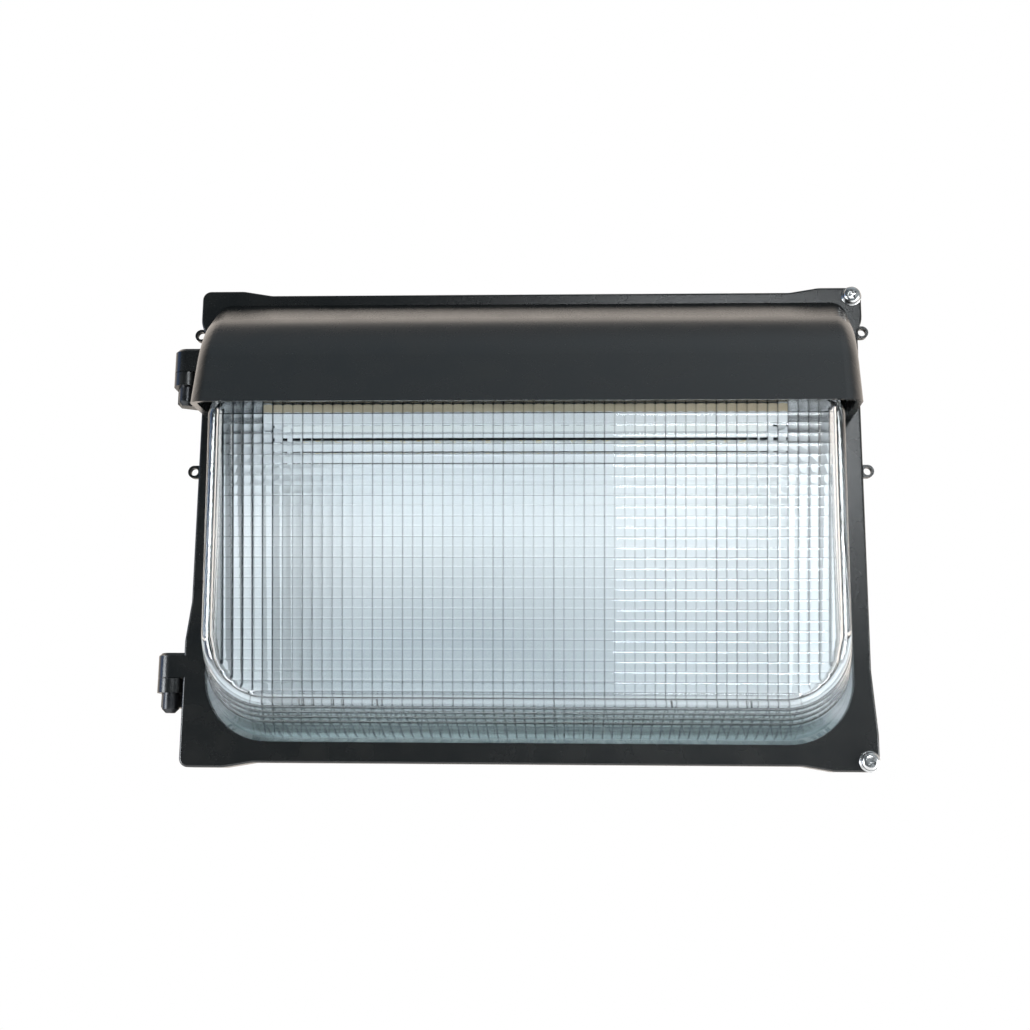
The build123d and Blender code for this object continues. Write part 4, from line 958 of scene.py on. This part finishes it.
# ---- studio -----------------------------------------------------------------
# What the surroundings shed, by direction. The camera itself sees them white.
FRONT_LEFT, FRONT_RIGHT = (0.06, 0.085, 0.105), (0.42, 0.47, 0.50)
SKY_LEFT, SKY_RIGHT = (0.42, 0.50, 0.56), (0.95, 1.05, 1.12)
BEHIND, BEHIND_ABOVE, BEHIND_BELOW = (1.35, 1.22, 1.10), (0.24, 0.25, 0.26), (0.10, 0.13, 0.14)

# name: place, size, power, colour
SOFT_LIGHTS = {
    "right softbox": ((1.55, -1.0, -0.35), (0.8, 0.8), 38, (0.95, 0.98, 1)),
    "left softbox": ((-1.5, -1.05, -0.35), (0.7, 0.8), 42, (0.93, 0.97, 1)),
    "window": ((0.26, -1.58, 0.41), (0.34, 0.22), 6, (0.93, 0.97, 1)),
    "blue strip": ((-1.6, -0.25, 0.0), (0.8, 1.4), 4, (0.15, 0.4, 1)),
}
LIGHTS_TOWARD = (0, -0.1, -0.02)
FLOOR_X, FLOOR_NEAR, FLOOR_FAR, FLOOR_Z, FLOOR_GLOW = 30, -1.3, 0.4, -0.9, 0.8


def soft_light(name, at, size, power, colour):
    """A rectangular light that neither the camera nor the view through the glass sees."""
    lamp = bpy.data.lights.new(name, "AREA")
    lamp.shape = "RECTANGLE"
    lamp.size, lamp.size_y = size
    lamp.energy, lamp.color = power, colour
    holder = bpy.data.objects.new(name, lamp)
    place = Matrix.Translation(at)
    aim = Matrix.Translation(LIGHTS_TOWARD).to_translation() - place.to_translation()
    holder.matrix_world = place @ aim.to_track_quat("-Z", "Y").to_matrix().to_4x4()
    holder.visible_camera = False
    holder.visible_transmission = False
    bpy.context.scene.collection.objects.link(holder)


def lay_floor():
    """A pale, faintly glowing floor under and behind the light."""
    floor = bpy.data.meshes.new("floor")
    corners = ((-1, FLOOR_NEAR), (1, FLOOR_NEAR), (1, FLOOR_FAR), (-1, FLOOR_FAR))
    floor.from_pydata(
        [(side * FLOOR_X, y, FLOOR_Z) for side, y in corners], [], [(0, 1, 2, 3)])
    pale = Finish("pale studio floor", Roughness=0.9)
    pale.set(Base_Color=pale.ramp(
        pale.noise(1.5, 2), [(0.3, (0.80, 0.80, 0.80)), (0.7, (0.82, 0.82, 0.82))]))
    pale.shader.inputs["Emission Color"].default_value = (1, 1, 1, 1)
    pale.shader.inputs["Emission Strength"].default_value = FLOOR_GLOW
    floor.materials.append(pale.material)
    ground = bpy.data.objects.new("floor", floor)
    bpy.context.scene.collection.objects.link(ground)


def studio():
    """White surroundings behind, darker in front, soft lights, and a pale floor."""
    scene = bpy.context.scene
    scene.view_settings.view_transform = "Standard"
    scene.cycles.caustics_refractive = False
    world = bpy.data.worlds.new("studio")
    scene.world = world
    world.use_nodes = True
    nodes, links = world.node_tree.nodes, world.node_tree.links
    nodes.clear()
    seen = nodes.new("ShaderNodeBackground")
    lit = nodes.new("ShaderNodeBackground")
    seen.inputs["Color"].default_value = (1, 1, 1, 1)
    either = nodes.new("ShaderNodeMixShader")
    ray = nodes.new("ShaderNodeLightPath")
    out = nodes.new("ShaderNodeOutputWorld")
    place = nodes.new("ShaderNodeTexCoord")
    split = nodes.new("ShaderNodeSeparateXYZ")
    links.new(place.outputs["Generated"], split.inputs[0])

    def share(axis, low, high):
        """0..1 across the directions between low and high on an axis."""
        node = nodes.new("ShaderNodeMapRange")
        node.interpolation_type = "SMOOTHSTEP"
        node.inputs["From Min"].default_value, node.inputs["From Max"].default_value = low, high
        links.new(split.outputs[axis], node.inputs["Value"])
        return node.outputs["Result"]

    def blend(factor, one, other):
        node = nodes.new("ShaderNodeMix")
        node.data_type = "RGBA"
        links.new(factor, node.inputs[0])
        for socket, colour in ((node.inputs[6], one), (node.inputs[7], other)):
            if isinstance(colour, tuple):
                socket.default_value = (*colour, 1)
            else:
                links.new(colour, socket)
        return node.outputs[2]

    to_right = share("X", -0.30, 0.35)
    front = blend(to_right, FRONT_LEFT, FRONT_RIGHT)
    front = blend(share("Z", 0.72, 0.92), front, blend(to_right, SKY_LEFT, SKY_RIGHT))
    behind = blend(share("Z", 0.74, 0.86), BEHIND, BEHIND_ABOVE)
    behind = blend(share("Z", -0.40, -0.22), BEHIND_BELOW, behind)
    links.new(blend(share("Y", -0.1, 0.45), front, behind), lit.inputs["Color"])
    links.new(ray.outputs["Is Camera Ray"], either.inputs[0])
    links.new(lit.outputs[0], either.inputs[1])
    links.new(seen.outputs[0], either.inputs[2])
    links.new(either.outputs[0], out.inputs["Surface"])

    for name, setting in SOFT_LIGHTS.items():
        soft_light(name, *setting)
    lay_floor()


studio()
